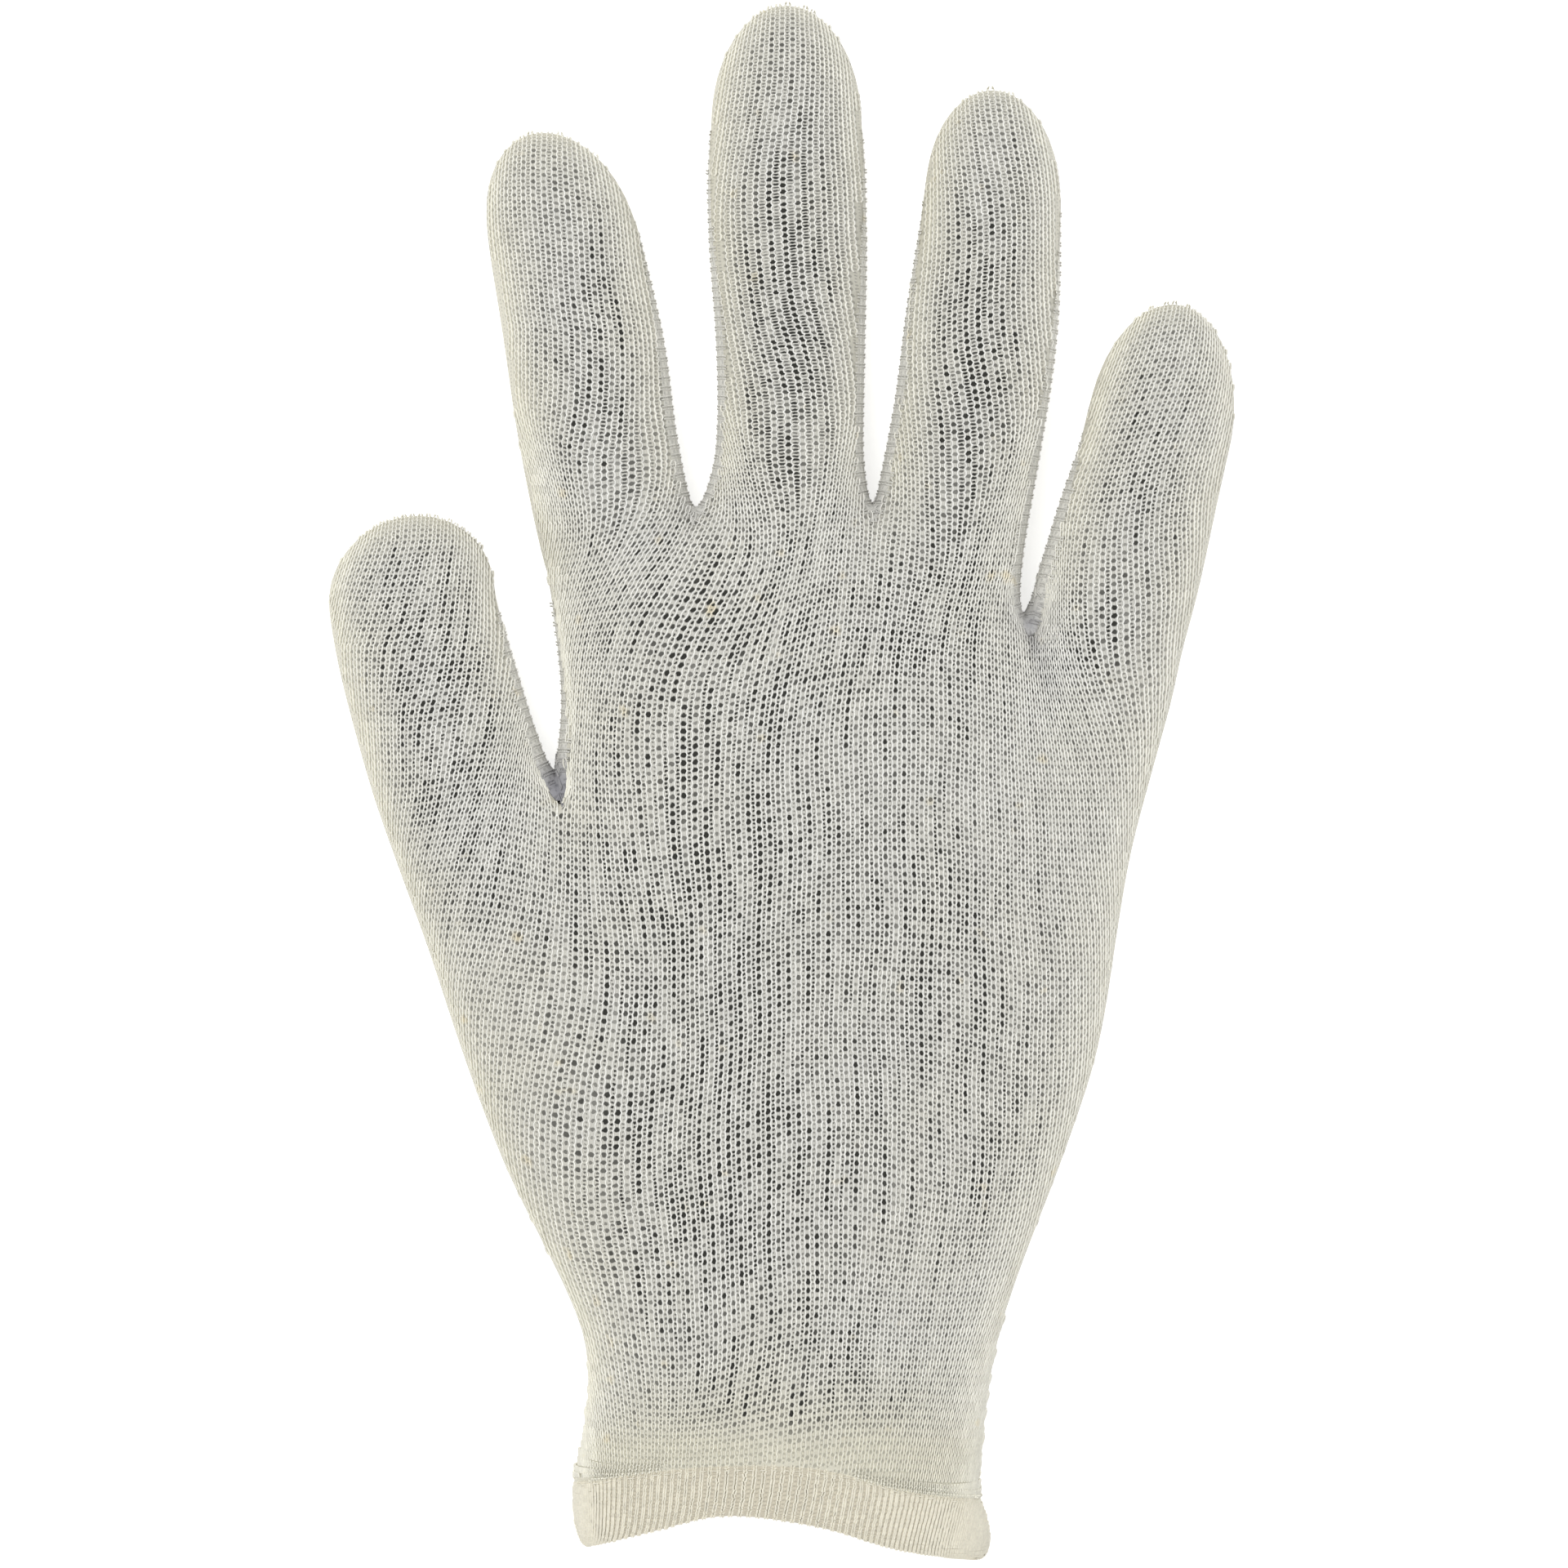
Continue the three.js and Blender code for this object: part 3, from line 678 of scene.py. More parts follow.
# %% [markdown]
# ## How the cloth looks from place to place
#
# Each vertex also gets a few shares between 0 and 1: how far the cloth turns away, how creamy it
# is, how much painted shade it gets, how open its knit is and how much a finger stretches it. The
# materials read them, and the stitches take some of them over. Painting them by hand would work as
# well, but a rule can be run again when the shape changes.

# %% Share out cream, shade and stretch
HEM_MIDDLE = -122.0
HEM_CREAM_REACH = 23.0
CLOSING_START = -99.0
CLOSING_LENGTH = 8.0
CLOSED_TURN = 0.3
CREAM_CURVE = 0.6
CREAM_ON_SIDES = 0.8
CREAM_ON_LEFT = 0.2
OPEN_START = 1.3
OPEN_FADE = 3.4
STRETCH_START = 1.6
STRETCH_RANGE = 0.7
WEB_SHADE_REACH = 7.0
FORK_SHADE_REACH = 3.5
FOLD_SHADE = 0.5
RIGHT_SHADE = 0.1
RIGHT_FAVOUR = 0.45

# x and y in mm of the lowest place between two fingers, and how much painted shade it gets
FORKS = [(-13.7, 43.1, 0.22), (14.8, 43.7, 0.22), (39.8, 26.5, 0.45)]


def store(mesh, name, values):
    """Stores a number or a vector for each vertex as an attribute."""
    kind, field = ("FLOAT", "value") if values.ndim == 1 else ("FLOAT_VECTOR", "vector")
    mesh.attributes.new(name, kind, "POINT").data.foreach_set(field, values.astype(np.float32).ravel())


def shade(kind, points, turn, to_right):
    """Painted shade at each point: in the forks, in the fold and on the sides that face right."""
    x, y, _ = points.T
    favoured = 1 - RIGHT_FAVOUR + RIGHT_FAVOUR * to_right
    deep = RIGHT_SHADE * turn**2 * favoured * (kind != "gusset")
    for fork_x, fork_y, amount in FORKS:
        deep += amount * np.exp(-((np.hypot(x - fork_x, y - fork_y) / FORK_SHADE_REACH) ** 2))
    if kind in ("back", "gusset"):
        deep += FOLD_SHADE * fold_nearness(points * MM)
    return deep


def find_shares(node, knit):
    """The shares of each vertex of a node's cloth."""
    kind = CLOTH_PIECES[node]
    points = knit["points"]
    x, y, _ = points.T
    to_right = knit["normals"][:, 0]
    turn = 1 - np.abs(knit["normals"][:, 2])
    near_hem = np.exp(-(((y - HEM_MIDDLE) / HEM_CREAM_REACH) ** 2))
    # sides that face right get less cream and look cooler: painted shade, as the light comes from the left
    cream = np.maximum(turn**CREAM_CURVE * (CREAM_ON_SIDES - CREAM_ON_LEFT * to_right), near_hem)
    # deep is painted shade, which the cotton tone group mixes into the colour
    deep = shade(kind, points, turn, to_right)
    # the thumb web gets a painted shade of its own, darkest at the fork
    if node == "gusset_thumb_index":
        notch, _ = fork_line(points)
        deep = np.exp(-(np.hypot(x - notch[0], y - notch[1]) / WEB_SHADE_REACH) ** 4)
    closing = ease((CLOSING_START - y) / CLOSING_LENGTH)
    turn = np.maximum(turn, CLOSED_TURN * closing)
    opened = np.zeros(len(points))
    stretch = np.zeros(len(points))
    if kind in ("back", "palm"):
        digits = find_digits(x, y)
        opened = openness(x, y) * np.clip(OPEN_START - OPEN_FADE * turn, 0, 1) * (1 - closing)
        stretch = np.clip((digits["rib_width"] - STRETCH_START) / STRETCH_RANGE, 0, 1) * digits["fan"]
    return {"turn": turn, "cream": cream, "openness": opened, "deep": deep, "stretch": stretch}


for node, knit in knits.items():
    shares = find_shares(node, knit)
    for name, values in shares.items():
        store(cloths[node].data, name, values)
    knit.update(shares)
    print(node, {name: round(float(values.mean()), 2) for name, values in shares.items()})

# %% [markdown]
# ## A place for every stitch
#
# A stitch belongs wherever the rib number is halfway between two whole numbers and the row number
# is whole. Inside one triangle both numbers change evenly, so such a place is found with the
# triangle's own weights. The same sum gives two arrows: one as wide as the rib and one as long as
# the row, averaged over the neighbouring triangles so that the stitches turn smoothly.

# %% Find the places and their arrows
WIDEST_SPAN = 7
TALLEST_SPAN = 7
LEAST_SPREAD = 1e-5
LEAST_WEIGHT = 1e-12
RIB_SHIFT = np.array([0.5, 0.0])


def knit_places(mesh, knit, numbers=None):
    """Where shifted whole numbers fall on the outer faces, with arrows along and across the ribs."""
    numbers = knit["numbers"] if numbers is None else numbers
    mesh.calc_loop_triangles()
    triangles = np.array([t.vertices for t in mesh.loop_triangles])
    owners = np.array([t.polygon_index for t in mesh.loop_triangles])
    triangles = triangles[knit["out"][owners]]
    spots = numbers[triangles]
    spot_edges = spots[:, 1:] - spots[:, :1]
    sound = np.abs(np.linalg.det(spot_edges)) > LEAST_SPREAD
    triangles, spots = triangles[sound], spots[sound]
    corners = knit["points"][triangles]
    edges = corners[:, 1:] - corners[:, :1]
    inverse = np.linalg.inv(spot_edges[sound])
    arrows = inverse @ edges
    area = np.linalg.norm(np.cross(edges[:, 0], edges[:, 1]), axis=1)
    total = np.zeros((len(knit["points"]), 2, 3))
    weight = np.zeros(len(knit["points"]))
    for corner in range(3):
        np.add.at(total, triangles[:, corner], arrows * area[:, None, None])
        np.add.at(weight, triangles[:, corner], area)
    smooth_arrows = total / np.maximum(weight, LEAST_WEIGHT)[:, None, None]
    first = np.floor(spots.min(1) - RIB_SHIFT)
    fields = {"place": knit["points"], "outward": knit["normals"]}
    fields.update(across=smooth_arrows[:, 0], along=smooth_arrows[:, 1])
    # the shares ride along to the stitches, the painted shade (deep) among them
    fields.update({name: knit[name] for name in ("turn", "cream", "deep", "stretch")})
    found = {name: [] for name in fields}
    for rib in range(WIDEST_SPAN):
        for row in range(TALLEST_SPAN):
            target = first + (rib, row) + RIB_SHIFT
            pair = np.einsum("ni,nij->nj", target - spots[:, 0], inverse)
            weights = np.concatenate([1 - pair.sum(1, keepdims=True), pair], 1)
            inside = (weights >= 0).all(1)
            for name, values in fields.items():
                mixed = np.einsum("nk,nk...->n...", weights[inside], values[triangles[inside]])
                found[name].append(mixed)
    return {name: np.concatenate(parts) for name, parts in found.items()}


places = {node: knit_places(cloths[node].data, knits[node]) for node in CLOTH_PIECES}
for node, found in places.items():
    wide = np.linalg.norm(found["across"], axis=1)
    tall = np.linalg.norm(found["along"], axis=1)
    print(node, len(wide), "stitches,", np.median(wide).round(2), "by", np.median(tall).round(2), "mm")

# %% [markdown]
# ## Building node trees in code
#
# Both materials and Geometry Nodes are trees of nodes with sockets. A small class lets a node's
# outputs be added and multiplied like numbers, so that a sum reads as a sum though each sign in it
# adds a Math node. The helpers after it add a node, mix two colours, and start a tree with named
# sockets. Dragging nodes in the editor gives the same trees, but a script can be rerun.

# %% Helpers for node trees
SOCKET_KINDS = {float: "NodeSocketFloat", int: "NodeSocketInt", tuple: "NodeSocketColor"}
# where a Mix node that mixes colours has its sockets
MIX_FACTOR, MIX_FIRST, MIX_SECOND, MIX_RESULT = 0, 6, 7, 2


class Output:
    """A node's output. A sum of outputs adds Math nodes to their tree."""

    def __init__(self, socket):
        self.socket = socket

    def calculate(self, operation, *others, clamp=False):
        """The output of a Math node that starts from this output."""
        values = dict(enumerate((self, *others)))
        return add_node(self.socket.id_data, "ShaderNodeMath", values, operation=operation, use_clamp=clamp)

    def __add__(self, other):
        return self.calculate("ADD", other)

    def __sub__(self, other):
        return self.calculate("SUBTRACT", other)

    def __mul__(self, other):
        return self.calculate("MULTIPLY", other)

    def __truediv__(self, other):
        return self.calculate("DIVIDE", other)


def feed(value, socket):
    """Links an output to an input, or sets the input's own value."""
    if isinstance(value, Output):
        socket.id_data.links.new(value.socket, socket)
    else:
        socket.default_value = value


def add_node(tree, kind, inputs=(), output=0, **settings):
    """Adds a node with its settings and inputs, and gives one of its outputs."""
    made = tree.nodes.new(kind)
    for name, value in settings.items():
        setattr(made, name, value)
    for name, value in dict(inputs).items():
        feed(value, made.inputs[name])
    return Output(made.outputs[output])


def vector_sum(operation, first, second=None, output=0):
    """An output of a Vector Math node."""
    inputs = {0: first}
    if second is not None:
        inputs["Scale" if operation == "SCALE" else 1] = second
    return add_node(first.socket.id_data, "ShaderNodeVectorMath", inputs, output, operation=operation)


def mix_colours(tree, factor, first, second, blend="MIX"):
    """Goes from the first colour to the second as the factor goes from 0 to 1."""
    inputs = {MIX_FACTOR: factor, MIX_FIRST: first, MIX_SECOND: second}
    return add_node(tree, "ShaderNodeMix", inputs, MIX_RESULT, data_type="RGBA", blend_type=blend)


def start_tree(name, kind, inputs, outputs):
    """A node group, its inputs and its outputs. An input is named with its value or its kind."""
    tree = bpy.data.node_groups.new(name, kind)
    for socket_name, value in inputs.items():
        socket_kind = SOCKET_KINDS.get(type(value), value)
        socket = tree.interface.new_socket(socket_name, in_out="INPUT", socket_type=socket_kind)
        if socket_kind != value:
            socket.default_value = value
    for socket_name, socket_kind in outputs.items():
        tree.interface.new_socket(socket_name, in_out="OUTPUT", socket_type=socket_kind)
    given = {socket.name: Output(socket) for socket in tree.nodes.new("NodeGroupInput").outputs}
    return tree, given, tree.nodes.new("NodeGroupOutput").inputs


def add_group(tree, group, inputs):
    """The outputs of a shader group that has its own values in this material."""
    made = tree.nodes.new("ShaderNodeGroup")
    made.node_tree = group
    for name, value in inputs.items():
        feed(value, made.inputs[name])
    return {socket.name: Output(socket) for socket in made.outputs}


print("helpers ready for", bpy.app.version_string)

# %% [markdown]
# ## The tone of undyed cotton
#
# Undyed cotton isn't one white. It is a cool grey white where it is stretched flat, creamier where
# it is slack or turns away, a little brighter or darker from yarn to yarn, and now and then a bit
# of seed or a thick place leaves a warm fleck. The group also paints shade: where the mesh marks
# it, the colour goes towards a dark grey blue. Every material here needs that, so it is one
# shader group with its own values in each material.

# %% Make the cotton tone group
PATCH_SCALE = 75.0
FLECK_SCALE = 230.0
FUZZ_SCALE = 2600.0
SLACK_WARMTH = 1.6
PAINTED_SHADE_SHARE = 0.85
PAINTED_SHADE_COLOUR = (0.2, 0.2, 0.235, 1.0)
FLECK_COLOUR = (1.0, 0.93, 0.78, 1.0)
FLECK_LEVELS = {"From Min": 0.72, "From Max": 0.84}
FUZZ_SHADE = 0.3
PATCH_BASE = 0.25


def make_cotton_tone():
    """A shader group that gives a cotton colour with painted shade, and a fine height for fuzz."""
    inputs = {
        "Cool": (0.7, 0.7, 0.66, 1.0),
        "Cream": (0.72, 0.69, 0.6, 1.0),
        "Slack": 0.0,
        "Painted Shade": 0.0,
        "Brightness": 1.0,
        "Patchiness": 0.5,
    }
    outputs = {"Color": "NodeSocketColor", "Fuzz": "NodeSocketFloat"}
    tree, given, result = start_tree("cotton_tone", "ShaderNodeTree", inputs, outputs)
    place = add_node(tree, "ShaderNodeTexCoord", output="Object")

    def noise(scale, detail):
        return add_node(tree, "ShaderNodeTexNoise", {"Vector": place, "Scale": scale, "Detail": detail})

    patches = noise(PATCH_SCALE, 2.0) * given["Patchiness"] - PATCH_BASE
    warmth = given["Slack"].calculate("MULTIPLY_ADD", SLACK_WARMTH, patches, clamp=True)
    cotton = mix_colours(tree, warmth, given["Cool"], given["Cream"])
    # painted shade: the colour goes towards a dark grey blue where the mesh is marked as shaded
    shaded = mix_colours(tree, given["Painted Shade"] * PAINTED_SHADE_SHARE, cotton, PAINTED_SHADE_COLOUR)
    flecks = add_node(tree, "ShaderNodeMapRange", {"Value": noise(FLECK_SCALE, 1.0), **FLECK_LEVELS})
    flecked = mix_colours(tree, flecks, shaded, FLECK_COLOUR, "MULTIPLY")
    fuzz = noise(FUZZ_SCALE, 3.0)
    level = (fuzz * FUZZ_SHADE + (1 - FUZZ_SHADE / 2)) * given["Brightness"]
    feed(vector_sum("SCALE", flecked, level), result["Color"])
    feed(fuzz, result["Fuzz"])
    return tree


cotton_tone = make_cotton_tone()
print("group:", cotton_tone.name, "with", len(cotton_tone.nodes), "nodes")

# %% [markdown]
# ## The eyelets between the ribs
#
# Real holes by the ten thousand would be far too heavy, and behind them lies only shadow. So the
# cloth under the stitches is painted: a dark oval in each gap between two ribs, once a row, and
# two finer slits a row between a rib's own legs, which widen where the cloth is stretched. Both
# follow the knit numbers in the UV map. How dark each one is depends on the cloth's openness, on
# its column and on chance, as in the photo.

# %% Make the eyelet group
LINT_SCALE = 1500.0
STRIPES_ACROSS = 2.7
STRIPES_ALONG = 0.09
STRIPE_STRENGTH = 3.4
STRIPE_BASE = -1.4
CHANCE_STRENGTH = 0.8
SIZE_BY_DEPTH = 0.65
SIZE_BY_CHANCE = 0.35
LEAST_SIZE = 0.52
SOFT_EDGE = {"From Min": 1.35, "From Max": 0.5}
SLOT_STRETCH = 0.08
EYELET_STRENGTH = 0.95
SLOT_STRENGTH = 0.8
EYELET_DROP = 0.05
FLAT_START = 1.1
TURN_FADE = 2.4


def make_eyelets():
    """A shader group that turns knit numbers into a mask of eyelets and the bars between them."""
    inputs = {
        "Knit": "NodeSocketVector",
        "Openness": 0.5,
        "Turn": 0.0,
        "Stretch": 0.0,
        "Closed Shade": 0.2,
        "Width": 0.21,
        "Height": 0.29,
        "Slot Width": 0.11,
        "Slot Height": 0.27,
        "Ragged": 0.3,
    }
    outputs = {"Eyelet": "NodeSocketFloat", "Bar": "NodeSocketFloat"}
    tree, given, result = start_tree("knit_eyelets", "ShaderNodeTree", inputs, outputs)
    place = add_node(tree, "ShaderNodeTexCoord", output="Object")
    lint_values = {"Vector": place, "Scale": LINT_SCALE, "Detail": 1.0}
    lint = add_node(tree, "ShaderNodeTexNoise", lint_values, "Color")
    ragged = vector_sum("SCALE", vector_sum("SUBTRACT", lint, (0.5, 0.5, 0.5)), given["Ragged"])
    shifted = {"Vector": vector_sum("ADD", given["Knit"], ragged)}
    rib_at, row_at = (add_node(tree, "ShaderNodeSeparateXYZ", shifted, axis) for axis in "XY")

    def eyelet_depth(column, chance):
        """How far an eyelet is open, from its own chance and from the stretch along its column."""
        along = {"X": column * STRIPES_ACROSS, "Y": row_at * STRIPES_ALONG}
        stripe_place = add_node(tree, "ShaderNodeCombineXYZ", along)
        stripe = add_node(tree, "ShaderNodeTexNoise", {"Vector": stripe_place, "Scale": 1.0, "Detail": 1.0})
        luck = stripe * STRIPE_STRENGTH + STRIPE_BASE + chance * CHANCE_STRENGTH
        return given["Openness"].calculate("MULTIPLY", luck, clamp=True)

    def oval(rib_shift, row_shift, rows, width, height):
        """A soft oval round each shifted whole number, and how deep it is."""
        rib = rib_at - rib_shift
        row = row_at * rows - row_shift
        column = rib.calculate("ROUND")
        line = row.calculate("ROUND")
        side = (rib - column) / width
        rise = (row - line) / height
        cell = add_node(tree, "ShaderNodeCombineXYZ", {"X": column, "Y": line, "Z": rib_shift})
        chance = add_node(tree, "ShaderNodeTexWhiteNoise", {"Vector": cell})
        depth = eyelet_depth(column + rib_shift, chance)
        size = chance * SIZE_BY_CHANCE + depth * SIZE_BY_DEPTH + LEAST_SIZE
        near = {"Value": (side * side + rise * rise) / size, **SOFT_EDGE}
        return add_node(tree, "ShaderNodeMapRange", near, interpolation_type="SMOOTHSTEP"), depth

    slot_width = given["Stretch"] * SLOT_STRETCH + given["Slot Width"]
    eyelet, depth = oval(0.0, EYELET_DROP, 1.0, given["Width"], given["Height"])
    slot, slot_depth = oval(0.5, 0.5, 2.0, slot_width, given["Slot Height"])
    flat = given["Turn"].calculate("MULTIPLY_ADD", -TURN_FADE, FLAT_START, clamp=True)
    closed = flat * given["Closed Shade"]
    hole = eyelet * (depth * EYELET_STRENGTH + closed)
    slit = slot * (slot_depth * SLOT_STRENGTH + closed)
    feed(hole.calculate("MAXIMUM", slit, clamp=True), result["Eyelet"])
    feed(eyelet.calculate("MAXIMUM", slot) * -1.0 + 1.0, result["Bar"])
    return tree


knit_eyelets = make_eyelets()
print("group:", knit_eyelets.name, "with", len(knit_eyelets.nodes), "nodes")

# %% [markdown]
# ## The materials
#
# The cloth under the stitches lies in their shadow, so its colour is painted darker than the yarn
# on top, as painted shade. Both are very rough, with a weak sheen for the fluff that catches light
# at the edges. The record names three finishes for this glove: the rib knit, the gussets and the
# hem, and each gets its own colours here from the same groups.

# %% Mix the cloth and yarn materials
# the cloth colours here are darker than the yarn colours: painted shade between the stitches
COOL_YARN = (0.94, 0.935, 0.9, 1.0)
CREAM_YARN = (0.86, 0.84, 0.735, 1.0)
COOL_CLOTH = (0.5, 0.493, 0.458, 1.0)
CREAM_CLOTH = (0.58, 0.56, 0.47, 1.0)
GUSSET_YARN = (0.78, 0.77, 0.72, 1.0)
GUSSET_CLOTH = (0.72, 0.71, 0.66, 1.0)
HEM_YARN = (0.79, 0.755, 0.64, 1.0)
HEM_CLOTH = (0.56, 0.52, 0.42, 1.0)
# the eyelets' dark is painted shadow: the shaded inside of the glove seen through them
EYELET_SHADOW = (0.03, 0.03, 0.026, 1.0)
ROUGH_COTTON = {"Roughness": 0.95, "Specular IOR Level": 0.2, "Sheen Weight": 0.15, "Sheen Roughness": 0.5}
YARN_SHADE = 0.08
BAR_SHADE = 0.25
LEAST_BAR = 0.8
YARN_FUZZ = 0.04 * MM
CLOTH_FUZZ = 0.05 * MM
EYELET_DENT = 0.25 * MM


def read_attribute(tree, name):
    """The value of a vertex attribute."""
    return add_node(tree, "ShaderNodeAttribute", output="Fac", attribute_name=name)


def cotton_colour(tree, cool, cream, brightness):
    """The outputs of the cotton tone group, fed with the mesh's cream and its painted shade."""
    slack, deep = (read_attribute(tree, name) for name in ("cream", "deep"))
    given = {"Cool": cool, "Cream": cream, "Slack": slack, "Painted Shade": deep, "Brightness": brightness}
    return add_group(tree, cotton_tone, given)


def yarn_material(name, cool, cream):
    """The yarn of the stitches, a little lighter or darker from stitch to stitch."""
    material = start_material(name, ROUGH_COTTON)
    tree = material.node_tree
    brightness = read_attribute(tree, "tone") * YARN_SHADE + (1 - YARN_SHADE / 2)
    tone = cotton_colour(tree, cool, cream, brightness)
    shader = tree.nodes["Principled BSDF"].inputs
    feed(tone["Color"], shader["Base Color"])
    fuzz = add_node(tree, "ShaderNodeBump", {"Height": tone["Fuzz"], "Distance": YARN_FUZZ})
    feed(fuzz, shader["Normal"])
    return material


def cloth_material(name, cool, cream, closed_shade):
    """The cloth under the stitches, with its eyelets."""
    material = start_material(name, ROUGH_COTTON)
    tree = material.node_tree
    given = {field.capitalize(): read_attribute(tree, field) for field in ("openness", "turn", "stretch")}
    given["Knit"] = add_node(tree, "ShaderNodeUVMap", output="UV", uv_map="knit")
    given["Closed Shade"] = closed_shade
    knit = add_group(tree, knit_eyelets, given)
    tone = cotton_colour(tree, cool, cream, knit["Bar"] * BAR_SHADE + LEAST_BAR)
    shader = tree.nodes["Principled BSDF"].inputs
    feed(mix_colours(tree, knit["Eyelet"], tone["Color"], EYELET_SHADOW), shader["Base Color"])
    fuzz = add_node(tree, "ShaderNodeBump", {"Height": tone["Fuzz"], "Distance": CLOTH_FUZZ})
    dent = {"Height": knit["Eyelet"] * -1.0, "Distance": EYELET_DENT, "Normal": fuzz}
    feed(add_node(tree, "ShaderNodeBump", dent), shader["Normal"])
    return material


materials = {
    "back": cloth_material("rib_knit_cloth", COOL_CLOTH, CREAM_CLOTH, 0.34),
    "gusset": cloth_material("gusset_knit_cloth", GUSSET_CLOTH, GUSSET_CLOTH, 0.1),
    "hem": cloth_material("hem_knit_cloth", HEM_CLOTH, HEM_CLOTH, 0.0),
}
materials["palm"] = materials["back"]
yarns = {
    "back": yarn_material("rib_knit_yarn", COOL_YARN, CREAM_YARN),
    "gusset": yarn_material("gusset_knit_yarn", GUSSET_YARN, GUSSET_YARN),
    "hem": yarn_material("hem_knit_yarn", HEM_YARN, HEM_YARN),
}
yarns["palm"] = yarns["back"]
for node, kind in CLOTH_PIECES.items():
    cloths[node].data.materials.clear()
    cloths[node].data.materials.append(materials[kind])
print("materials:", sorted(m.name for m in bpy.data.materials if "knit" in m.name))

# %% [markdown]
# ## Yarn on a place
#
# The face of a knit loop is a V of two legs, and the next loop comes out of the V above. Stacked,
# they make the pale wavy lines that run up this glove, two to a rib. All of it is one kind of
# thing: a short bent strand, repeated on many places. So a few helpers do the work for every
# Geometry Nodes tree here. One bends a strand, one sets it on each place, turned and stretched by
# that place's arrows, and one gives the result its thickness. The thickness comes last, in mm,
# because yarn doesn't get fatter where the cloth is stretched.

# %% Helpers for strands
PLACING_INPUTS = {
    "Geometry": "NodeSocketGeometry",
    "Yarn Width": 0.155,
    "Yarn Height": 0.2,
    "Unevenness": 0.12,
    "Tilt": 0.03,
    "Seed": 1,
    "Yarn": "NodeSocketMaterial",
}


def start_strands(name, inputs):
    """A Geometry Nodes tree with the inputs that every tree shares and its own."""
    outputs = {"Geometry": "NodeSocketGeometry"}
    return start_tree(name, "GeometryNodeTree", {**PLACING_INPUTS, **inputs}, outputs)


def bend_strand(tree, start, end, count, side, up):
    """A curve along y whose points are moved sideways and up."""
    start, end = (add_node(tree, "ShaderNodeCombineXYZ", {"Y": y}) for y in (start, end))
    line = add_node(tree, "GeometryNodeCurvePrimitiveLine", {"Start": start, "End": end}, mode="POINTS")
    points = add_node(tree, "GeometryNodeResampleCurve", {"Curve": line, "Count": count}, mode="COUNT")
    offset = add_node(tree, "ShaderNodeCombineXYZ", {"X": side, "Z": up})
    return add_node(tree, "GeometryNodeSetPosition", {"Geometry": points, "Offset": offset})


def strand_way(tree):
    """How far along its strand a point is, from 0 to 1."""
    return add_node(tree, "GeometryNodeSplineParameter", output="Factor")


def arch(tree):
    """Rises from 0 at a strand's ends to 1 at its middle."""
    from_middle = strand_way(tree) * 2.0 - 1.0
    return from_middle * from_middle * -1.0 + 1.0


def read_field(tree, name, kind="FLOAT_VECTOR"):
    """An attribute that is stored on the points."""
    return add_node(tree, "GeometryNodeInputNamedAttribute", {"Name": name}, data_type=kind)


def set_on_places(tree, given, shape):
    """The curves on every point, each with its own tone and tilt."""

    def chance(low, high, step):
        """A fixed random number for each point."""
        values = {2: low, 3: high, "Seed": given["Seed"] + step}
        return add_node(tree, "FunctionNodeRandomValue", values, 1, data_type="FLOAT")

    across, rib, outward = (read_field(tree, name) for name in ("across", "along", "outward"))
    tilt = chance(-1.0, 1.0, 0.0) * given["Tilt"]
    along = vector_sum("ADD", rib, vector_sum("SCALE", across, tilt))
    axes = {"Primary Axis": outward, "Secondary Axis": along}
    turn = add_node(tree, "FunctionNodeAxesToRotation", axes, primary_axis="Z", secondary_axis="Y")
    tall = vector_sum("LENGTH", rib, output="Value")
    area = vector_sum("LENGTH", vector_sum("CROSS_PRODUCT", across, rib), output="Value")
    tone = {"Geometry": given["Geometry"], "Name": "tone", "Value": chance(0.0, 1.0, 13.0)}
    copies = {
        "Points": add_node(tree, "GeometryNodeStoreNamedAttribute", tone, data_type="FLOAT", domain="POINT"),
        "Instance": shape,
        "Rotation": turn,
        "Scale": add_node(tree, "ShaderNodeCombineXYZ", {"X": area / tall, "Y": tall, "Z": MM}),
    }
    pieces = add_node(tree, "GeometryNodeInstanceOnPoints", copies)
    return add_node(tree, "GeometryNodeRealizeInstances", {"Geometry": pieces})


def thicken(tree, given, curves, taper):
    """Closed three-sided strands, flat below and with a ridge on top, in their yarn."""
    normals = {"Curve": curves, "Normal": read_field(tree, "outward")}
    ring = add_node(tree, "GeometryNodeCurvePrimitiveCircle", {"Resolution": 3, "Radius": MM})
    size = {"X": given["Yarn Height"], "Y": given["Yarn Width"], "Z": 1.0}
    sides = {"Geometry": ring, "Scale": add_node(tree, "ShaderNodeCombineXYZ", size)}
    plump = (read_field(tree, "tone", "FLOAT") * 2.0 - 1.0) * given["Unevenness"] + 1.0
    parts = {
        "Curve": add_node(tree, "GeometryNodeSetCurveNormal", normals, mode="FREE"),
        "Profile Curve": add_node(tree, "GeometryNodeTransform", sides),
        "Scale": plump * taper,
        "Fill Caps": True,
    }
    solid = add_node(tree, "GeometryNodeCurveToMesh", parts)
    for name in ("across", "along", "outward"):
        solid = add_node(tree, "GeometryNodeRemoveAttribute", {"Geometry": solid, "Name": name})
    smooth = add_node(tree, "GeometryNodeSetShadeSmooth", {"Geometry": solid})
    return add_node(tree, "GeometryNodeSetMaterial", {"Geometry": smooth, "Material": given["Yarn"]})


def end_strands(tree, given, result, strand, taper=1.0):
    """Sets a strand on every point, thickens it and hands it to the tree's output."""
    feed(thicken(tree, given, set_on_places(tree, given, strand), taper), result["Geometry"])
    return tree


print("inputs that every tree shares:", list(PLACING_INPUTS))

# %% [markdown]
# ## The stitches
#
# The first tree draws one stitch in a unit square. Each leg swings out and back to the foot of the
# next one, so the legs join into two unbroken wavy yarns. A plain V would show a gap at every
# row, like grains of rice. Each leg needs only a few points, because there are so many.

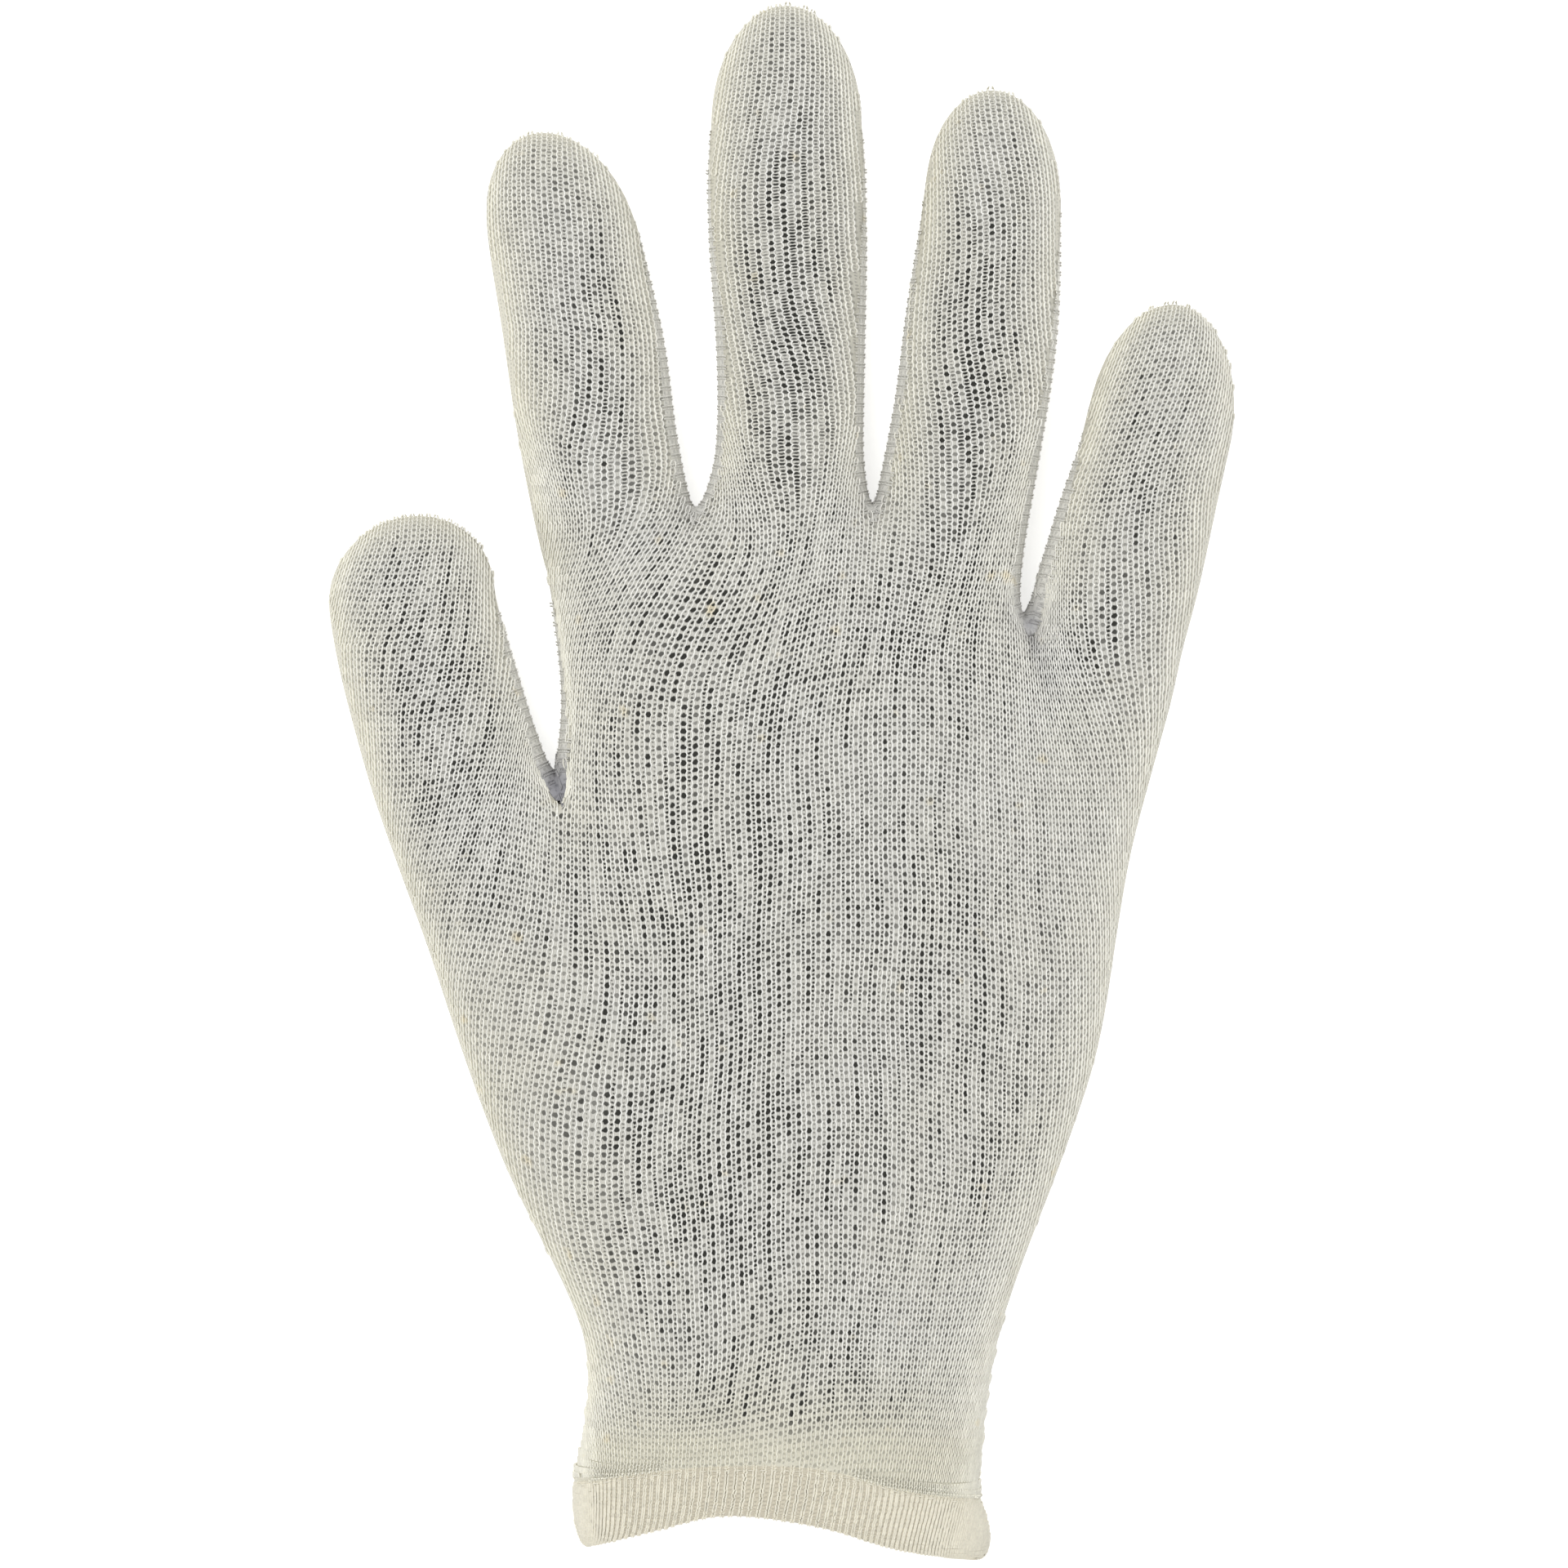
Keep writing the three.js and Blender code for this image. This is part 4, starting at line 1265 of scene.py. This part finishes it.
# %% Build the stitch tree
def make_knit_loops():
    """A Geometry Nodes tree that sets two wavy legs on every point."""
    inputs = {
        "Foot Spread": 0.15,
        "Head Spread": 0.28,
        "Overlap": 0.06,
        "Lift": 0.08,
        "Rise": 0.03,
        "Points": 4,
    }
    tree, given, result = start_strands("knit_loops", inputs)
    start = given["Overlap"] * -1.0
    end = given["Overlap"] + 1.0
    spread = arch(tree) * (given["Head Spread"] - given["Foot Spread"]) + given["Foot Spread"]
    up = arch(tree) * given["Rise"] + given["Lift"]
    legs = tree.nodes.new("GeometryNodeJoinGeometry")
    for side in (-1.0, 1.0):
        feed(bend_strand(tree, start, end, given["Points"], spread * side, up), legs.inputs[0])
    return end_strands(tree, given, result, Output(legs.outputs[0]))


knit_loops = make_knit_loops()
print("tree:", knit_loops.name, "with", len(knit_loops.nodes), "nodes")

# %% [markdown]
# ## Setting the stitches
#
# The tree becomes a modifier on a mesh of bare points that carry their arrows, and the result is
# frozen into a plain mesh. Where the cloth bends sharply the arrows come out skewed or far too
# long, so those few places get no stitch. The back's stitches go into three meshes of equal size.
# The palm's go into two, since the ones that are pressed on the table can have straight legs.

# %% Set the stitches on the cloth
STEEPEST_ARROW = 0.5
SMALLEST_SHARE = 0.2
LARGEST_SHARE = 1.9
HEM_LARGEST_SHARE = 2.6
STRETCHED_SPREAD = 0.25
PRESSED_FLAT = -0.97
BACK_PARTS = 3
HEM_SHAPE = {"Foot Spread": 0.15, "Head Spread": 0.22, "Yarn Width": 0.26, "Tilt": 0.12, "Points": 2}
GUSSET_SHAPE = {"Yarn Height": 0.1, "Rise": 0.02, "Points": 2}


def set_inputs(modifier, values):
    """Sets a Geometry Nodes modifier's inputs by the names of their sockets."""
    for item in modifier.node_group.interface.items_tree:
        if item.item_type == "SOCKET" and item.in_out == "INPUT" and item.name in values:
            modifier[item.identifier] = values[item.name]


def grow(name, found, chosen, tree, values):
    """Makes a tree's pieces on the chosen places and freezes them into one plain mesh."""
    mesh = bpy.data.meshes.new(name)
    mesh.from_pydata((found["place"][chosen] * MM).tolist(), [], [])
    wider = 1 + STRETCHED_SPREAD * found["stretch"][chosen, None]
    store(mesh, "across", found["across"][chosen] * MM * wider)
    store(mesh, "along", found["along"][chosen] * MM)
    # the stitches take over the cloth's cream and its painted shade (deep)
    for field in ("outward", "cream", "deep"):
        store(mesh, field, found[field][chosen])
    piece = add_object(name, mesh)
    modifier = piece.modifiers.new(tree.name, "NODES")
    modifier.node_group = tree
    set_inputs(modifier, values)
    frozen = freeze(piece)
    points = read_vectors(frozen.vertices, "co")
    points[:, 2] = np.maximum(points[:, 2], -STITCH_DEPTH)
    move_points(frozen, points)
    frozen.calc_loop_triangles()
    print(name, len(chosen), "places,", len(frozen.loop_triangles), "triangles")
    return piece


def sound_places(found, largest=LARGEST_SHARE):
    """The numbers of the places whose arrows lie in the cloth at a usual size, from the wrist up."""
    arrows = np.stack([found["across"], found["along"]])
    sizes = np.linalg.norm(arrows, axis=2)
    outward = found["outward"] / np.linalg.norm(found["outward"], axis=1, keepdims=True)
    lying = np.abs((arrows * outward).sum(2)).max(0) < STEEPEST_ARROW * sizes.min(0)
    sizes /= np.median(sizes, axis=1, keepdims=True)
    sound = np.flatnonzero(lying & (sizes.min(0) > SMALLEST_SHARE) & (sizes.max(0) < largest))
    return sound[np.argsort(found["place"][sound, 1], kind="stable")]


def knit_stitches(name, node, seed, chosen, **shape):
    """The stitches of one CAD node on the chosen places."""
    kind = CLOTH_PIECES[node]
    piece = grow(name, places[node], chosen, knit_loops, {"Seed": seed, "Yarn": yarns[kind], **shape})
    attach(piece, "root")
    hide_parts(node)


for node, cloth in cloths.items():
    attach(cloth, "root")
    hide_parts(node)

on_back = np.array_split(sound_places(places["back_panel"]), BACK_PARTS)
for part, chosen in enumerate(on_back, 1):
    knit_stitches(f"back_stitches_{part}", "back_panel", 10 + part, chosen)
on_palm = sound_places(places["palm_panel"])
pressed = places["palm_panel"]["outward"][on_palm, 2] < PRESSED_FLAT
knit_stitches("palm_stitches_1", "palm_panel", 21, on_palm[pressed], Points=2)
knit_stitches("palm_stitches_2", "palm_panel", 22, on_palm[~pressed], Points=3)
on_hem = sound_places(places["cuff_hem"], HEM_LARGEST_SHARE)
knit_stitches("hem_stitches", "cuff_hem", 31, on_hem, **HEM_SHAPE)
for seed, node in zip(range(41, 81, 10), GUSSETS):
    on_gusset = sound_places(places[node])
    knit_stitches(node.replace("gusset", "gusset_stitches"), node, seed, on_gusset, **GUSSET_SHAPE)

# %% [markdown]
# ## The hem's stitch line
#
# The cuff is folded double and sewn down with one line of short pale stitches, just below the
# hem's upper edge. They are strands on places too. The places come from a second pair of numbers:
# one counts along the wrist, and the other is zero all along the line.

# %% Sew the hem
THREAD_PITCH = 1.9
THREAD_BELOW_EDGE = 0.9
LONGEST_THREAD = 2.8
THREAD_TAPER = 0.7
FACES_UP = 0.3
LINE_SPACING = 10.0
EDGE_SAMPLES = 60
EDGE_REACH = 1.5
THREAD_SHAPE = {"Tilt": 0.15, "Yarn Width": 0.14, "Yarn Height": 0.14}


def make_thread_run():
    """A Geometry Nodes tree that sets one short straight stitch on every point."""
    tree, given, result = start_strands("thread_run", {"Length": 0.7, "Rise": 0.3})
    half = given["Length"] * 0.5
    strand = bend_strand(tree, half * -1.0, half, 5, 0.0, arch(tree) * given["Rise"])
    return end_strands(tree, given, result, strand, arch(tree) * THREAD_TAPER + (1 - THREAD_TAPER))


def seam_numbers(points):
    """Counts along the wrist and away from the sewn line, for each point of the hem in mm."""
    x, y, z = points.T
    samples = np.linspace(x.min(), x.max(), EDGE_SAMPLES)
    edge = [y[np.abs(x - sample) < EDGE_REACH].max() for sample in samples]
    below = np.interp(x, samples, edge) - y
    return np.stack([x / THREAD_PITCH, (below - THREAD_BELOW_EDGE) / LINE_SPACING], 1)


thread_run = make_thread_run()
hem = knits["cuff_hem"]
sewn = knit_places(cloths["cuff_hem"].data, hem, seam_numbers(hem["points"]))
sewn["along"] = sewn["across"]
sewn["across"] = np.cross(sewn["outward"], sewn["along"])
sewn["across"] /= np.linalg.norm(sewn["across"], axis=1, keepdims=True)
short = np.linalg.norm(sewn["along"], axis=1) < LONGEST_THREAD
upper = np.flatnonzero((sewn["outward"][:, 2] > FACES_UP) & short)
hem_thread = grow("hem_thread", sewn, upper, thread_run, {"Seed": 80, "Yarn": yarns["hem"], **THREAD_SHAPE})
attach(hem_thread, "root")

# %% [markdown]
# ## Stray fibres
#
# Cotton yarn is spun from short fibres, so here and there an end stands off the cloth and shows
# against the light at the outline. Ninety hairs on chosen stitches are enough, most of them where
# the cloth turns away. They start in the cloth and lean over, each its own way.

# %% Let some fibres stray
FIBRE_COUNT = 90
FIBRE_SEED = 7
FIBRE_LEAN = 0.3
FIBRE_BEND = 2.2
FIBRE_TAPER = 0.7
LEAST_LIKELY = 0.15
FIBRE_SHAPE = {"Tilt": 3.0, "Unevenness": 0.5, "Yarn Width": 0.02, "Yarn Height": 0.02}


def make_stray_fibres():
    """A Geometry Nodes tree that sets a thin bent hair on every point."""
    tree, given, result = start_strands("stray_fibres", {"Reach": 0.7, "Height": 0.6})
    lean = strand_way(tree) * FIBRE_LEAN
    up = (strand_way(tree) * FIBRE_BEND).calculate("SINE") * given["Height"]
    strand = bend_strand(tree, 0.0, given["Reach"], 5, lean, up)
    return end_strands(tree, given, result, strand, strand_way(tree) * -FIBRE_TAPER + 1.0)


stray_fibres = make_stray_fibres()
back = places["back_panel"]
likely = sound_places(back)
random = np.random.default_rng(FIBRE_SEED)
weight = LEAST_LIKELY + back["turn"][likely] ** 2
chosen = random.choice(likely, FIBRE_COUNT, replace=False, p=weight / weight.sum())
fibre_values = {"Seed": 90, "Yarn": yarns["back"], **FIBRE_SHAPE}
fibres = grow("stray_fibres", back, np.sort(chosen), stray_fibres, fibre_values)
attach(fibres, "root")
